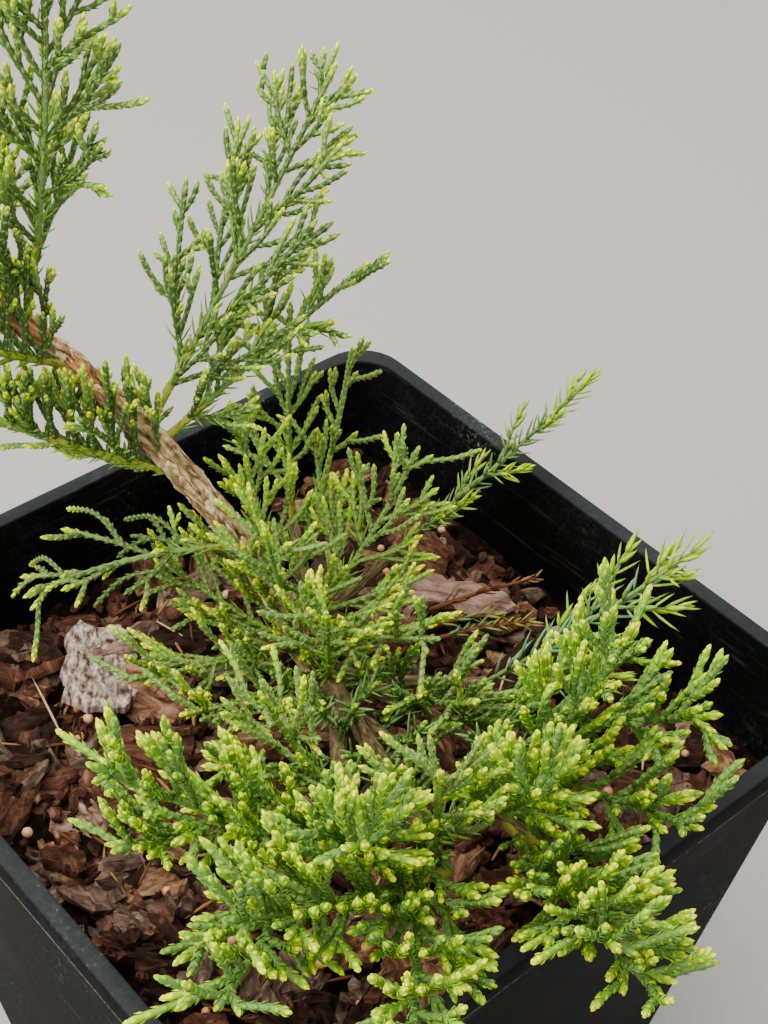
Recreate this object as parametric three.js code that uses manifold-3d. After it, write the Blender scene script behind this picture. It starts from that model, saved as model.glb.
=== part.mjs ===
// A young conifer in a square plastic nursery pot: a leaning stem with its boughs, and sprays of
// scaly cords round them. Millimetres, +Z up. The origin is the centre of the pot's underside,
// and the pot's sides lie along X and Y.

import * as THREE from "three";
import { mergeVertices } from "three/addons/utils/BufferGeometryUtils.js";
import Module from "manifold-3d";

const wasm = await Module();
wasm.setup();

// Pot
const POT_HEIGHT = 145;
const RIM_HALF = 75;            // half the width over the rim
const RIM_BAND = 3.8;           // width of the flat top of the rim
const RIM_DROP = 7.2;           // height of the folded rim outside
const RIM_STEP = 1.9;           // how far the rim stands out of the wall
const RIM_ROUND = 0.7;          // rounding of the rim's edges
const FOOT_HALF = 54;           // half the width at the underside
const CORNER_TOP = 10.5;        // corner radius at the rim
const CORNER_FOOT = 9;          // corner radius at the underside
const CORNER_SIDES = 3;         // flats round one corner
const WALL = 1.7;
const FLOOR = 2.4;

// Growing medium
const MEDIUM_TOP = 120;
const MEDIUM_GRID = 8;          // cells along one side of the uneven top
const MEDIUM_RELIEF = 1.6;
const CHIPS = 12;               // large bark chips lying on the top
const CHIP_LENGTH = [13, 24];
const CHIP_STANDS = 2;          // how far a chip stands over the top
const CHIP_SINKS = 4;
const CHIP_TILT = 7;            // degrees

const GAP = 0.3;                // clear space where one piece meets the next

// Stem: where it leaves the medium, its heading and rise in degrees, how both change, its length
const STEM = { foot: [11.5, 13.5], heading: 130, rise: 70, lift: -34, turn: 0, length: 118 };
const STEM_RADIUS = [3.7, 2.2];
const STEM_FLARE = 1.9;         // extra radius at the foot
const STEM_FLARE_HEIGHT = 4;
const STEM_STEPS = 14;
const STEM_SIDES = 8;

// Boughs: limb each grows from, place along it, heading, rise, lift, turn, length, end radii
const BOUGHS = {
  front: ["stem", 0.07, -114, 24, -12, 4, 84, 2.3, 1.3],
  front_right: ["front", 0.35, -91, 8, 4, 4, 50, 1.7, 1.2],
  front_left: ["front", 0.25, -127, 20, -8, -6, 52, 1.8, 1.3],
  right: ["stem", 0.045, -87, 20, -8, 0, 51, 2.1, 1.3],
  right_high: ["right", 0.5, -100, 30, -6, 4, 45, 1.6, 1.2],
  right_low: ["right", 0.22, -52, 3, 6, 8, 28, 1.5, 1.2],
  back: ["stem", 0.03, 56, 3, 10, 6, 40, 2.0, 1.3],
  back_right: ["back", 0.3, 2, 8, 6, 6, 27, 1.6, 1.2],
};
const BOUGH_STEPS = 6;
const BOUGH_SIDES = 6;

// Foliage: limb each spray grows from, place along it, heading, rise, lift, turn, length,
// reach to the left and right, roll of its fan, side shoots, and its kind of leaf
const SPRAYS = {
  tall: ["stem", 0.86, -70, 75, 14, 0, 90, 27, 30, 0, 12, "scale"],
  upper: ["stem", 0.6, 8, 46, -6, 10, 80, 34, 30, 0, 12, "scale"],
  upper_right: ["stem", 0.57, -13, 35, -8, 6, 54, 20, 16, 0, 7, "scale"],
  left_stem: ["stem", 0.5, 151, 23, 10, 0, 40, 24, 14, 60, 7, "scale"],
  droop: ["stem", 0.33, 147, 3, -24, 10, 45, 16, 22, 0, 6, "scale"],
  leader: ["stem", 1, 140, 31, 16, 0, 78, 24, 24, 0, 10, "scale"],
  leader_back: ["stem", 0.94, 72, 28, 16, 0, 64, 20, 20, 0, 8, "scale"],
  leader_side: ["stem", 0.76, 178, 31, 14, 0, 67, 20, 18, 0, 7, "scale"],
  centre_high: ["stem", 0.11, 0, 37, 24, 0, 47, 20, 20, 30, 7, "scale"],
  centre_back: ["stem", 0.19, 70, 32, 20, 0, 38, 16, 18, 30, 6, "scale"],
  centre_front: ["stem", 0.15, -87, 24, 16, 0, 49, 18, 18, 0, 7, "scale"],
  left_low: ["stem", 0.1, -177, 18, 10, 0, 48, 20, 16, 0, 7, "scale"],
  back_low: ["stem", 0.06, 117, 14, 14, 0, 37, 18, 18, 0, 7, "scale"],
  mid_left: ["front", 0.14, -169, 22, 12, 0, 47, 18, 18, 0, 7, "scale"],
  mid_right: ["right", 0.4, -100, 34, 14, 0, 45, 18, 18, 0, 6, "scale"],
  right_fan: ["right", 0.72, -63, 20, 12, 0, 60, 24, 24, 10, 9, "scale"],
  right_fan_low: ["right", 1, -84, 17, 8, 0, 51, 20, 18, 0, 8, "scale"],
  right_fan_high: ["right_high", 1, -62, 62, 16, 0, 45, 18, 18, 0, 7, "scale"],
  right_needle: ["right_low", 1, -35, 37, 10, 0, 51, 18, 16, 0, 7, "needle"],
  back_needle: ["back_right", 1, -20, 37, 8, 0, 56, 14, 12, 0, 6, "needle"],
  back_upright: ["back", 1, 73, 80, 16, 0, 59, 15, 18, 0, 7, "scale"],
  back_slim: ["back", 0.72, 15, 63, 14, 0, 52, 12, 12, 0, 5, "scale"],
  left_fan: ["front_left", 1, 157, 36, 10, 0, 54, 20, 20, 0, 8, "scale"],
  left_fan_low: ["front_left", 0.6, 178, 12, 10, 0, 50, 20, 18, 0, 7, "scale"],
  front_fan_left: ["front_left", 0.84, -148, 16, 12, 0, 62, 22, 22, 0, 8, "scale"],
  front_fan: ["front", 1, 180, 24, 12, 0, 54, 22, 22, 0, 8, "scale"],
  front_fan_right: ["front_right", 1, -118, 24, 12, 0, 48, 22, 22, 0, 8, "scale"],
  front_upright: ["front", 0.93, -137, 68, 8, 0, 36, 18, 18, 0, 7, "scale"],
  front_right_upright: ["front_right", 0.78, -122, 50, 8, 0, 48, 18, 18, 0, 7, "scale"],
  centre_rise: ["stem", 0.135, -148, 62, 10, 0, 46, 18, 18, 0, 7, "scale"],
  front_rise: ["front", 0.19, -133, 60, 10, 0, 40, 18, 18, 0, 7, "scale"],
  left_rise: ["front_left", 0.72, 160, 62, 8, 0, 36, 18, 18, 0, 6, "scale"],
  front_near: ["front_left", 0.93, -123, 44, 12, 0, 52, 18, 18, 0, 7, "scale"],
  right_near: ["front_right", 0.88, -104, 8, 10, 0, 50, 18, 18, 0, 8, "scale"],
  front_low: ["front", 0.86, -134, 14, 12, 0, 58, 22, 22, 0, 8, "scale"],
};
const AXIS_STEPS = 4;
const AXIS_RADIUS = [1.25, 0.55];
const SHOOT_STEPS = 2;
const SHOOT_RADIUS = [0.85, 0.5];
const SHOOT_SPREAD = [38, 52];  // degrees off the stem of the spray
const SHOOT_TILT = 70;          // degrees out of the fan, both ways together
const SHOOT_LEAST = 6;
const CORD_PITCH = 9.5;
const CORD_LENGTH = [8, 15];
const CORD_SPREAD = [32, 44];
const CORD_TILT = 80;
const CORD_RADIUS = 0.95;
const NEEDLE_PITCH = 5.5;
const NEEDLE_LENGTH = [6, 9];
const NEEDLE_SPREAD = [45, 60];
const NEEDLE_RADIUS = 0.6;

const UP = [0, 0, 1];
const LARGE = 400;

// Vectors
const add = (a, b) => [a[0] + b[0], a[1] + b[1], a[2] + b[2]];
const sub = (a, b) => [a[0] - b[0], a[1] - b[1], a[2] - b[2]];
const scale = (a, k) => [a[0] * k, a[1] * k, a[2] * k];
const dot = (a, b) => a[0] * b[0] + a[1] * b[1] + a[2] * b[2];
const cross = (a, b) => [
  a[1] * b[2] - a[2] * b[1],
  a[2] * b[0] - a[0] * b[2],
  a[0] * b[1] - a[1] * b[0],
];
const size = (a) => Math.sqrt(dot(a, a));
const unit = (a) => scale(a, 1 / size(a));
const mix = (a, b, k) => add(scale(a, 1 - k), scale(b, k));
const between = (range, k) => range[0] + (range[1] - range[0]) * k;
const radians = THREE.MathUtils.degToRad;

// The direction with a heading from X towards Y and a rise over the level, in degrees.
function direction(heading, rise) {
  const level = Math.cos(radians(rise));
  return [
    level * Math.cos(radians(heading)),
    level * Math.sin(radians(heading)),
    Math.sin(radians(rise)),
  ];
}

// A fixed draw between 0 and 1 for a place in the plant, the same every time it is asked for.
function chance(...place) {
  let state = 1;
  for (const number of place) {
    state = ((state + number + 1) * 48271) % 2147483647;
  }
  state = (state * 16807) % 2147483647;
  state = (state * 16807) % 2147483647;
  return state / 2147483647;
}

// The centre line of a limb that leaves its start with a heading and a rise that change evenly.
function path(start, heading, rise, lift, turn, length, steps) {
  const points = [start];
  for (let i = 0; i < steps; i += 1) {
    const k = (i + 0.5) / steps;
    const way = direction(heading + turn * k, rise + lift * k);
    points.push(add(points[i], scale(way, length / steps)));
  }
  return points;
}

// The point and the direction at a share of the way along a centre line.
function along(points, share) {
  const place = share * (points.length - 1);
  const i = Math.min(Math.floor(place), points.length - 2);
  return {
    point: mix(points[i], points[i + 1], place - i),
    way: unit(sub(points[i + 1], points[i])),
  };
}

// A way that leaves `way` by an angle, towards the side in the fan and out of it by a tilt.
function leave(way, normal, side, spread, tilt) {
  const level = unit(cross(normal, way));
  const out = add(
    scale(level, side * Math.cos(radians(tilt))),
    scale(normal, Math.sin(radians(tilt))),
  );
  return add(scale(way, Math.cos(radians(spread))), scale(out, Math.sin(radians(spread))));
}

// The normal of a spray's fan: upwards, rolled about the spray's stem.
function fanNormal(way, roll) {
  const level = cross(way, UP);
  const side = size(level) > 0.2 ? unit(level) : unit(cross(way, [0.5, 0.6, 0]));
  const top = cross(side, way);
  const across = cross(way, top);
  return unit(add(scale(top, Math.cos(radians(roll))), scale(across, Math.sin(radians(roll)))));
}

// The centre lines of one spray: its stem, its side shoots and the cords or needles on them.
function growSpray(start, spec, seed) {
  const [, , heading, rise, lift, turn, length, left, right, roll, count, kind] = spec;
  const axis = path(start, heading, rise, lift, turn, length, AXIS_STEPS);
  const shoots = [];
  for (let i = 0; i < count; i += 1) {
    const share = 0.1 + (0.86 * (i + 0.5 * chance(seed, i, 1))) / count;
    const { point, way } = along(axis, share);
    const normal = fanNormal(way, roll);
    const side = i % 2 === 1 ? 1 : -1;
    const tilt = SHOOT_TILT * (chance(seed, i, 2) - 0.5);
    const first = leave(way, normal, side, between(SHOOT_SPREAD, chance(seed, i, 3)), tilt);
    const reach = side > 0 ? left : right;
    const profile = 1.25 * (1 - share) ** 0.6 * (0.75 + 0.5 * chance(seed, i, 4));
    const full = Math.max(reach * profile, SHOOT_LEAST);
    const points = [point];
    for (let j = 0; j < SHOOT_STEPS; j += 1) {
      const k = (j + 0.5) / SHOOT_STEPS;
      const next = unit(add(mix(first, way, 0.45 * k), scale(UP, 0.12 * k)));
      points.push(add(points[j], scale(next, full / SHOOT_STEPS)));
    }
    shoots.push({ points, normal, full, index: i, cords: growCords(points, normal, full, kind, seed, i) });
  }
  const top = fanNormal(along(axis, 0).way, roll);
  const tip = kind === "needle" ? growCords(axis, top, length, kind, seed, 99) : [];
  return { axis, shoots, tip, kind };
}

// The cords or needles on one shoot, in turn to the left and the right.
function growCords(points, normal, full, kind, seed, i) {
  const needle = kind === "needle";
  const pitch = needle ? NEEDLE_PITCH : CORD_PITCH;
  const lengths = needle ? NEEDLE_LENGTH : CORD_LENGTH;
  const spreads = needle ? NEEDLE_SPREAD : CORD_SPREAD;
  const count = Math.max(1, Math.floor(full / pitch));
  const cords = [];
  for (let j = 0; j < count; j += 1) {
    const share = 0.2 + (0.75 * (j + 0.5)) / count;
    const { point, way } = along(points, share);
    const side = (i + j) % 2 === 1 ? 1 : -1;
    const tilt = CORD_TILT * (chance(seed, i, j, 5) - 0.5);
    const out = leave(way, normal, side, between(spreads, chance(seed, i, j, 6)), tilt);
    const long = between(lengths, chance(seed, i, j, 7)) * (1.15 - 0.5 * share);
    cords.push([point, add(point, scale(unit(add(out, scale(UP, 0.1))), long))]);
  }
  return cords;
}

// A closed geometry from corner points and triangles that face out.
function closed(points, faces) {
  const geometry = new THREE.BufferGeometry();
  geometry.setAttribute("position", new THREE.Float32BufferAttribute(points.flat(), 3));
  geometry.setIndex(faces.flat());
  return geometry;
}

// A closed geometry as a solid that can be joined and cut.
function solid(geometry) {
  geometry.deleteAttribute("normal");
  geometry.deleteAttribute("uv");
  const merged = mergeVertices(geometry);
  const index = merged.index.array;
  const triangles = [];
  for (let i = 0; i < index.length; i += 3) {
    const [a, b, c] = index.slice(i, i + 3);
    if (a !== b && b !== c && c !== a) {
      triangles.push(a, b, c);
    }
  }
  return new wasm.Manifold(new wasm.Mesh({
    numProp: 3,
    vertProperties: merged.attributes.position.array,
    triVerts: new Uint32Array(triangles),
  }));
}

// The flat faces between rings with equal numbers of points, each ring above the last.
function bands(count, sides) {
  const faces = [];
  for (let r = 0; r + 1 < count; r += 1) {
    for (let i = 0; i < sides; i += 1) {
      const a = r * sides + i;
      const b = r * sides + ((i + 1) % sides);
      faces.push([a, b, b + sides], [a, b + sides, a + sides]);
    }
  }
  return faces;
}

// A solid of rings, closed flat at both ends.
function loft(rings) {
  const sides = rings[0].length;
  const faces = bands(rings.length, sides);
  const last = (rings.length - 1) * sides;
  for (let i = 1; i + 1 < sides; i += 1) {
    faces.push([0, i + 1, i], [last, last + i, last + i + 1]);
  }
  return solid(closed(rings.flat(), faces));
}

// A tapering limb with flat sides along a centre line; a limb that ends in a point has radius 0.
function limb(points, radii, sides) {
  let across = unit(cross(sub(points[1], points[0]), [0.31, 0.17, 0.93]));
  const rings = [];
  const last = points.length - 1;
  for (let i = 0; i <= last; i += 1) {
    const way = unit(sub(points[Math.min(i + 1, last)], points[Math.max(i - 1, 0)]));
    across = unit(sub(across, scale(way, dot(across, way))));
    const up = cross(way, across);
    const ring = [];
    for (let s = 0; s < sides; s += 1) {
      const angle = (2 * Math.PI * s) / sides;
      ring.push(add(points[i], add(
        scale(across, radii[i] * Math.cos(angle)),
        scale(up, radii[i] * Math.sin(angle)),
      )));
    }
    rings.push(ring);
  }
  if (radii[last] > 0) {
    return loft(rings);
  }
  const faces = bands(last, sides);
  const top = (last - 1) * sides;
  for (let i = 0; i < sides; i += 1) {
    faces.push([top + i, top + ((i + 1) % sides), last * sides]);
  }
  for (let i = 1; i + 1 < sides; i += 1) {
    faces.push([0, i + 1, i]);
  }
  return solid(closed([...rings.slice(0, last).flat(), points[last]], faces));
}

// Radii that fall evenly from one to the other over a number of points.
const taper = (from, to, count) => Array.from(
  { length: count },
  (_, i) => from + ((to - from) * i) / (count - 1),
);

// A spindle with three sides from root to tip, widest past its middle.
function spindle(root, tip, radius) {
  const length = size(sub(tip, root));
  const profile = [[0, 0], [radius, 0.62 * length], [0, length]].map(([x, y]) => new THREE.Vector2(x, y));
  const geometry = new THREE.LatheGeometry(profile, 3);
  const way = new THREE.Vector3(...sub(tip, root)).normalize();
  geometry.applyQuaternion(new THREE.Quaternion().setFromUnitVectors(new THREE.Vector3(0, 1, 0), way));
  geometry.translate(...root);
  return solid(geometry);
}

const join = (solids) => solids.reduce((whole, next) => whole.add(next));

// The largest of the separate bodies in a solid.
function largest(whole) {
  const bodies = whole.decompose();
  return bodies.reduce((a, b) => (b.volume() > a.volume() ? b : a));
}

// The shortest distance between two straight pieces.
function distance(a0, a1, b0, b1) {
  const u = sub(a1, a0);
  const v = sub(b1, b0);
  const w = sub(a0, b0);
  const uu = dot(u, u);
  const uv = dot(u, v);
  const vv = dot(v, v);
  const uw = dot(u, w);
  const vw = dot(v, w);
  const clamp = (x) => Math.min(1, Math.max(0, x));
  const spread = uu * vv - uv * uv;
  let s = spread > 1e-9 ? clamp((uv * vw - vv * uw) / spread) : 0;
  const t = clamp((uv * s + vw) / vv);
  s = clamp((uv * t - uw) / uu);
  return size(sub(add(a0, scale(u, s)), add(b0, scale(v, t))));
}

// Straight pieces already placed, each with its owner and radius.
const placed = [];
function place(points, radius, owner) {
  for (let i = 0; i + 1 < points.length; i += 1) {
    placed.push({ from: points[i], to: points[i + 1], radius, owner });
  }
}
function isClear(points, radius, owner) {
  return placed.every((piece) => {
    if (piece.owner === owner) {
      return true;
    }
    for (let i = 0; i + 1 < points.length; i += 1) {
      const gap = distance(points[i], points[i + 1], piece.from, piece.to);
      if (gap < radius + piece.radius + 2 * GAP) {
        return false;
      }
    }
    return true;
  });
}

// Pot: rings of a rounded square from the underside, up outside, over the rim and down inside
function roundedSquare(half, corner, z) {
  const ring = [];
  for (let c = 0; c < 4; c += 1) {
    for (let i = 0; i <= CORNER_SIDES; i += 1) {
      const angle = radians(90 * (c + i / CORNER_SIDES));
      const sx = c === 0 || c === 3 ? 1 : -1;
      const sy = c < 2 ? 1 : -1;
      ring.push([
        sx * (half - corner) + corner * Math.cos(angle),
        sy * (half - corner) + corner * Math.sin(angle),
        z,
      ]);
    }
  }
  return ring;
}

const wallHalf = (z) => FOOT_HALF + ((RIM_HALF - RIM_STEP - FOOT_HALF) * z) / POT_HEIGHT;
const wallCorner = (z) => CORNER_FOOT + ((CORNER_TOP - RIM_STEP - CORNER_FOOT) * z) / POT_HEIGHT;

function makePot() {
  const rim = POT_HEIGHT - RIM_DROP;
  const inner = RIM_HALF - RIM_BAND;
  const insideHalf = (z) => wallHalf(z) - WALL;
  const insideCorner = (z) => wallCorner(z) - WALL;
  return loft([
    roundedSquare(FOOT_HALF - 1, CORNER_FOOT - 1, 0),
    roundedSquare(wallHalf(1), wallCorner(1), 1),
    roundedSquare(wallHalf(rim - 1), wallCorner(rim - 1), rim - 1),
    roundedSquare(RIM_HALF - 1.1, CORNER_TOP - 1.1, rim),
    roundedSquare(RIM_HALF - 0.5, CORNER_TOP - 0.5, rim + RIM_ROUND),
    roundedSquare(RIM_HALF, CORNER_TOP, POT_HEIGHT - RIM_ROUND),
    roundedSquare(RIM_HALF - RIM_ROUND, CORNER_TOP - RIM_ROUND, POT_HEIGHT),
    roundedSquare(inner + RIM_ROUND, CORNER_TOP - RIM_BAND + RIM_ROUND, POT_HEIGHT),
    roundedSquare(inner, CORNER_TOP - RIM_BAND, POT_HEIGHT - RIM_ROUND),
    roundedSquare(insideHalf(rim - 2), insideCorner(rim - 2), rim - 2),
    roundedSquare(insideHalf(FLOOR), insideCorner(FLOOR), FLOOR),
  ]);
}

// Growing medium: a fill with an uneven top, flat under the stem, and bark chips lying on it
function makeMedium() {
  const sideHalf = (z) => wallHalf(z) - WALL - GAP;
  const corner = (z) => wallCorner(z) - WALL - GAP;
  const low = FLOOR + GAP;
  const high = MEDIUM_TOP + MEDIUM_RELIEF;
  const fill = loft([
    roundedSquare(sideHalf(low), corner(low), low),
    roundedSquare(sideHalf(high), corner(high), high),
  ]);
  const corners = [];
  const n = MEDIUM_GRID;
  const half = RIM_HALF;
  for (let i = 0; i <= n; i += 1) {
    for (let j = 0; j <= n; j += 1) {
      const x = half * ((2 * i) / n - 1);
      const y = half * ((2 * j) / n - 1);
      const near = Math.hypot(x - STEM.foot[0], y - STEM.foot[1]) < 22;
      const height = near ? 0 : MEDIUM_RELIEF * (2 * chance(7, i, j) - 1);
      corners.push([x, y, MEDIUM_TOP + height]);
    }
  }
  const roof = corners.length;
  for (let i = 0; i <= n; i += 1) {
    for (let j = 0; j <= n; j += 1) {
      corners.push([corners[i * (n + 1) + j][0], corners[i * (n + 1) + j][1], LARGE]);
    }
  }
  const faces = [];
  for (let i = 0; i < n; i += 1) {
    for (let j = 0; j < n; j += 1) {
      const a = i * (n + 1) + j;
      const b = a + n + 1;
      faces.push([a, b + 1, b], [a, a + 1, b + 1]);
      faces.push([roof + a, roof + b, roof + b + 1], [roof + a, roof + b + 1, roof + a + 1]);
    }
  }
  for (let i = 0; i < n; i += 1) {
    const edges = [[i, i + 1], [(n + 1) * n + i + 1, (n + 1) * n + i],
      [(i + 1) * (n + 1), i * (n + 1)], [i * (n + 1) + n, (i + 1) * (n + 1) + n]];
    for (const [a, b] of edges) {
      faces.push([a, roof + a, roof + b], [a, roof + b, b]);
    }
  }
  const above = solid(closed(corners, faces));
  return join([fill.subtract(above), ...makeChips()]);
}

// Flakes of bark, each an uneven four-sided slab sunk into the top
function makeChips() {
  const chips = [];
  const spread = RIM_HALF - 24;
  for (let i = 0; chips.length < CHIPS; i += 1) {
    const x = spread * (2 * chance(11, i, 1) - 1);
    const y = spread * (2 * chance(11, i, 2) - 1);
    if (Math.hypot(x - STEM.foot[0], y - STEM.foot[1]) > 24) {
      const long = between(CHIP_LENGTH, chance(11, i, 3)) / 2;
      const wide = long * (0.45 + 0.25 * chance(11, i, 6));
      const outline = new THREE.Shape([
        new THREE.Vector2(-long, -0.6 * wide),
        new THREE.Vector2(0.7 * long, -wide),
        new THREE.Vector2(long, 0.5 * wide),
        new THREE.Vector2(-0.6 * long, wide),
      ]);
      const depth = CHIP_SINKS + CHIP_STANDS;
      const flake = new THREE.ExtrudeGeometry(outline, { depth, bevelEnabled: false });
      flake.translate(0, 0, -CHIP_SINKS);
      flake.rotateX(radians(CHIP_TILT * (2 * chance(11, i, 5) - 1)));
      flake.rotateZ(2 * Math.PI * chance(11, i, 4));
      flake.translate(x, y, MEDIUM_TOP);
      chips.push(solid(flake));
    }
  }
  return chips;
}

// Limbs: the stem and the boughs, each clear of the ones before
const lines = {};
const radiiOf = {};
const foot = [...STEM.foot, MEDIUM_TOP + GAP];
lines.stem = path(foot, STEM.heading, STEM.rise, STEM.lift, STEM.turn, STEM.length, STEM_STEPS);
radiiOf.stem = taper(STEM_RADIUS[0], STEM_RADIUS[1], STEM_STEPS + 1);

function stemSolid(extra) {
  const way = unit(sub(lines.stem[1], lines.stem[0]));
  const step = STEM.length / STEM_STEPS;
  const drop = 3;
  const points = [
    sub(foot, scale(way, drop)), foot, add(foot, scale(way, step * 0.25)),
    add(foot, scale(way, step * 0.6)), ...lines.stem.slice(1),
  ];
  const runs = [-drop, 0, step * 0.25, step * 0.6, ...lines.stem.slice(1).map((_, i) => (i + 1) * step)];
  const radii = runs.map((run) => {
    const flare = STEM_FLARE * Math.exp(-Math.max(run, 0) / STEM_FLARE_HEIGHT);
    return between(STEM_RADIUS, Math.max(run, 0) / STEM.length) + flare + extra;
  });
  if (extra > 0) {
    points.push(add(points[points.length - 1], scale(along(lines.stem, 1).way, GAP)));
    radii.push(radii[radii.length - 1]);
    return limb(points, radii, STEM_SIDES);
  }
  const ground = new THREE.BoxGeometry(LARGE, LARGE, LARGE);
  ground.translate(0, 0, MEDIUM_TOP + GAP - LARGE / 2);
  return limb(points, radii, STEM_SIDES).subtract(solid(ground));
}

function boughSolid(name, extra) {
  const points = [...lines[name]];
  const radii = radiiOf[name].map((radius) => radius + extra);
  if (extra > 0) {
    points.push(add(points[points.length - 1], scale(along(lines[name], 1).way, GAP)));
    radii.push(radii[radii.length - 1]);
  }
  return limb(points, radii, BOUGH_SIDES);
}

const wide = { stem: stemSolid(1.15 * GAP) };
const limbs = { stem: stemSolid(0) };
place(lines.stem, STEM_RADIUS[0], "stem");
for (const [name, spec] of Object.entries(BOUGHS)) {
  const [parent, share, heading, rise, lift, turn, length, thick, thin] = spec;
  const start = along(lines[parent], share).point;
  lines[name] = path(start, heading, rise, lift, turn, length, BOUGH_STEPS);
  radiiOf[name] = taper(thick, thin, BOUGH_STEPS + 1);
  const earlier = Object.values(wide);
  limbs[name] = largest(earlier.reduce((rest, other) => rest.subtract(other), boughSolid(name, 0)));
  wide[name] = boughSolid(name, 1.15 * GAP);
  place(lines[name], thick, name);
}

// Sprays: every stem of a spray is placed first, then the shoots and cords that stay clear
const sprays = {};
let seed = 0;
for (const [name, spec] of Object.entries(SPRAYS)) {
  seed += 1;
  sprays[name] = growSpray(along(lines[spec[0]], spec[1]).point, spec, seed);
  place(sprays[name].axis, AXIS_RADIUS[0], name);
}

function spraySolid(name) {
  const { axis, shoots, tip, kind } = sprays[name];
  const needle = kind === "needle";
  const radius = needle ? NEEDLE_RADIUS : CORD_RADIUS;
  const parts = [];
  const addCords = (cords) => {
    for (const [root, end] of cords) {
      if (isClear([mix(root, end, 0.25), end], radius, name)) {
        place([root, end], radius, name);
        parts.push(spindle(root, end, radius));
      }
    }
  };
  parts.push(limb(axis, [...taper(...AXIS_RADIUS, AXIS_STEPS), 0], 3));
  addCords(tip);
  for (const { points, cords } of shoots) {
    if (isClear(points, SHOOT_RADIUS[0], name)) {
      place(points, SHOOT_RADIUS[0], name);
      parts.push(limb(points, [...taper(...SHOOT_RADIUS, SHOOT_STEPS), 0], 3));
      addCords(cords);
    }
  }
  const clear = Object.values(wide).reduce((rest, other) => rest.subtract(other), join(parts));
  const loose = taper(...AXIS_RADIUS, AXIS_STEPS + 1).map((thick) => thick + 2 * GAP);
  wide[name] = limb(axis, loose, 3);
  return largest(clear);
}

const foliage = {};
for (const name of Object.keys(SPRAYS)) {
  foliage[name] = spraySolid(name);
}

// The finished piece, one mesh for each solid
const group = new THREE.Group();
group.name = "potted_conifer";

function show(name, shape, colour, roughness) {
  const { numProp, vertProperties, triVerts } = shape.getMesh();
  const points = new Float32Array((vertProperties.length / numProp) * 3);
  for (let i = 0; i < points.length / 3; i += 1) {
    points.set(vertProperties.subarray(i * numProp, i * numProp + 3), i * 3);
  }
  const geometry = new THREE.BufferGeometry();
  geometry.setAttribute("position", new THREE.BufferAttribute(points, 3));
  geometry.setIndex(new THREE.BufferAttribute(new Uint32Array(triVerts), 1));
  geometry.computeVertexNormals();
  const material = new THREE.MeshStandardMaterial({ color: colour, roughness, flatShading: true });
  const mesh = new THREE.Mesh(geometry, material);
  mesh.name = name;
  group.add(mesh);
}

show("pot", makePot(), 0x15171a, 0.5);
show("growing_medium", makeMedium(), 0x5a3424, 0.95);
show("stem", limbs.stem, 0x8b6a55, 0.9);
for (const name of Object.keys(BOUGHS)) {
  show(`bough_${name}`, limbs[name], 0x9a7b4a, 0.85);
}
for (const [name, shape] of Object.entries(foliage)) {
  show(`foliage_${name}`, shape, SPRAYS[name][11] === "needle" ? 0x6fae63 : 0x6f9a4a, 0.8);
}

export default group;
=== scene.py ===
import math

import bpy
import numpy as np
from mathutils import Matrix, Vector


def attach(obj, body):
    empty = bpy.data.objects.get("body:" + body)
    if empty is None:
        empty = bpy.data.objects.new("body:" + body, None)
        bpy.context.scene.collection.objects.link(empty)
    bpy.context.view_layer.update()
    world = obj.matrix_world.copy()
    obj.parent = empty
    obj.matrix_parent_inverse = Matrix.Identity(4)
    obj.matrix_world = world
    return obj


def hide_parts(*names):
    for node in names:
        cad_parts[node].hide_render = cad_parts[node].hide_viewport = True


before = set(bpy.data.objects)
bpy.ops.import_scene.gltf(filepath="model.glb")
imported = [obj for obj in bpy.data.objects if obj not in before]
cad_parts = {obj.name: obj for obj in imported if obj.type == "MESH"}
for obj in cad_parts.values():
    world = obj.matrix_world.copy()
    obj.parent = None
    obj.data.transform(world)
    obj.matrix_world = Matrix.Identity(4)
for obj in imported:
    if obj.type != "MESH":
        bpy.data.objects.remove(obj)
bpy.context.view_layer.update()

bl_info = {
    "name": "Potted conifer",
    "version": (1, 0, 0),
    "blender": (4, 5, 0),
    "location": "3D View > Sidebar > Conifer",
    "description": "Dresses the packed model of a young conifer in a square nursery pot",
    "category": "Object",
}

MM = 0.001

# The plant's own sizes, in millimetres and degrees, as in the part's source
POT_HEIGHT = 145
RIM_HALF = 75
RIM_BAND = 3.8
RIM_DROP = 7.2
RIM_STEP = 1.9
FOOT_HALF = 54
FOOT_CORNER = 7.6
WALL = 1.7
FLOOR = 2.4
MEDIUM_TOP = 120
GAP = 0.3

STEM = {"foot": (11.5, 13.5), "heading": 130, "rise": 70, "lift": -34, "turn": 0, "length": 118}
STEM_RADIUS = (3.7, 2.2)
STEM_FLARE = 1.9
STEM_STEPS = 14

# Limb each bough grows from, place along it, heading, rise, lift, turn, length, end radii
BOUGHS = {
    "front": ("stem", 0.07, -114, 24, -12, 4, 84, 2.3, 1.3),
    "front_right": ("front", 0.35, -91, 8, 4, 4, 50, 1.7, 1.2),
    "front_left": ("front", 0.25, -127, 20, -8, -6, 52, 1.8, 1.3),
    "right": ("stem", 0.045, -87, 20, -8, 0, 51, 2.1, 1.3),
    "right_high": ("right", 0.5, -100, 30, -6, 4, 45, 1.6, 1.2),
    "right_low": ("right", 0.22, -52, 3, 6, 8, 28, 1.5, 1.2),
    "back": ("stem", 0.03, 56, 3, 10, 6, 40, 2.0, 1.3),
    "back_right": ("back", 0.3, 2, 8, 6, 6, 27, 1.6, 1.2),
}
BOUGH_STEPS = 6

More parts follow.
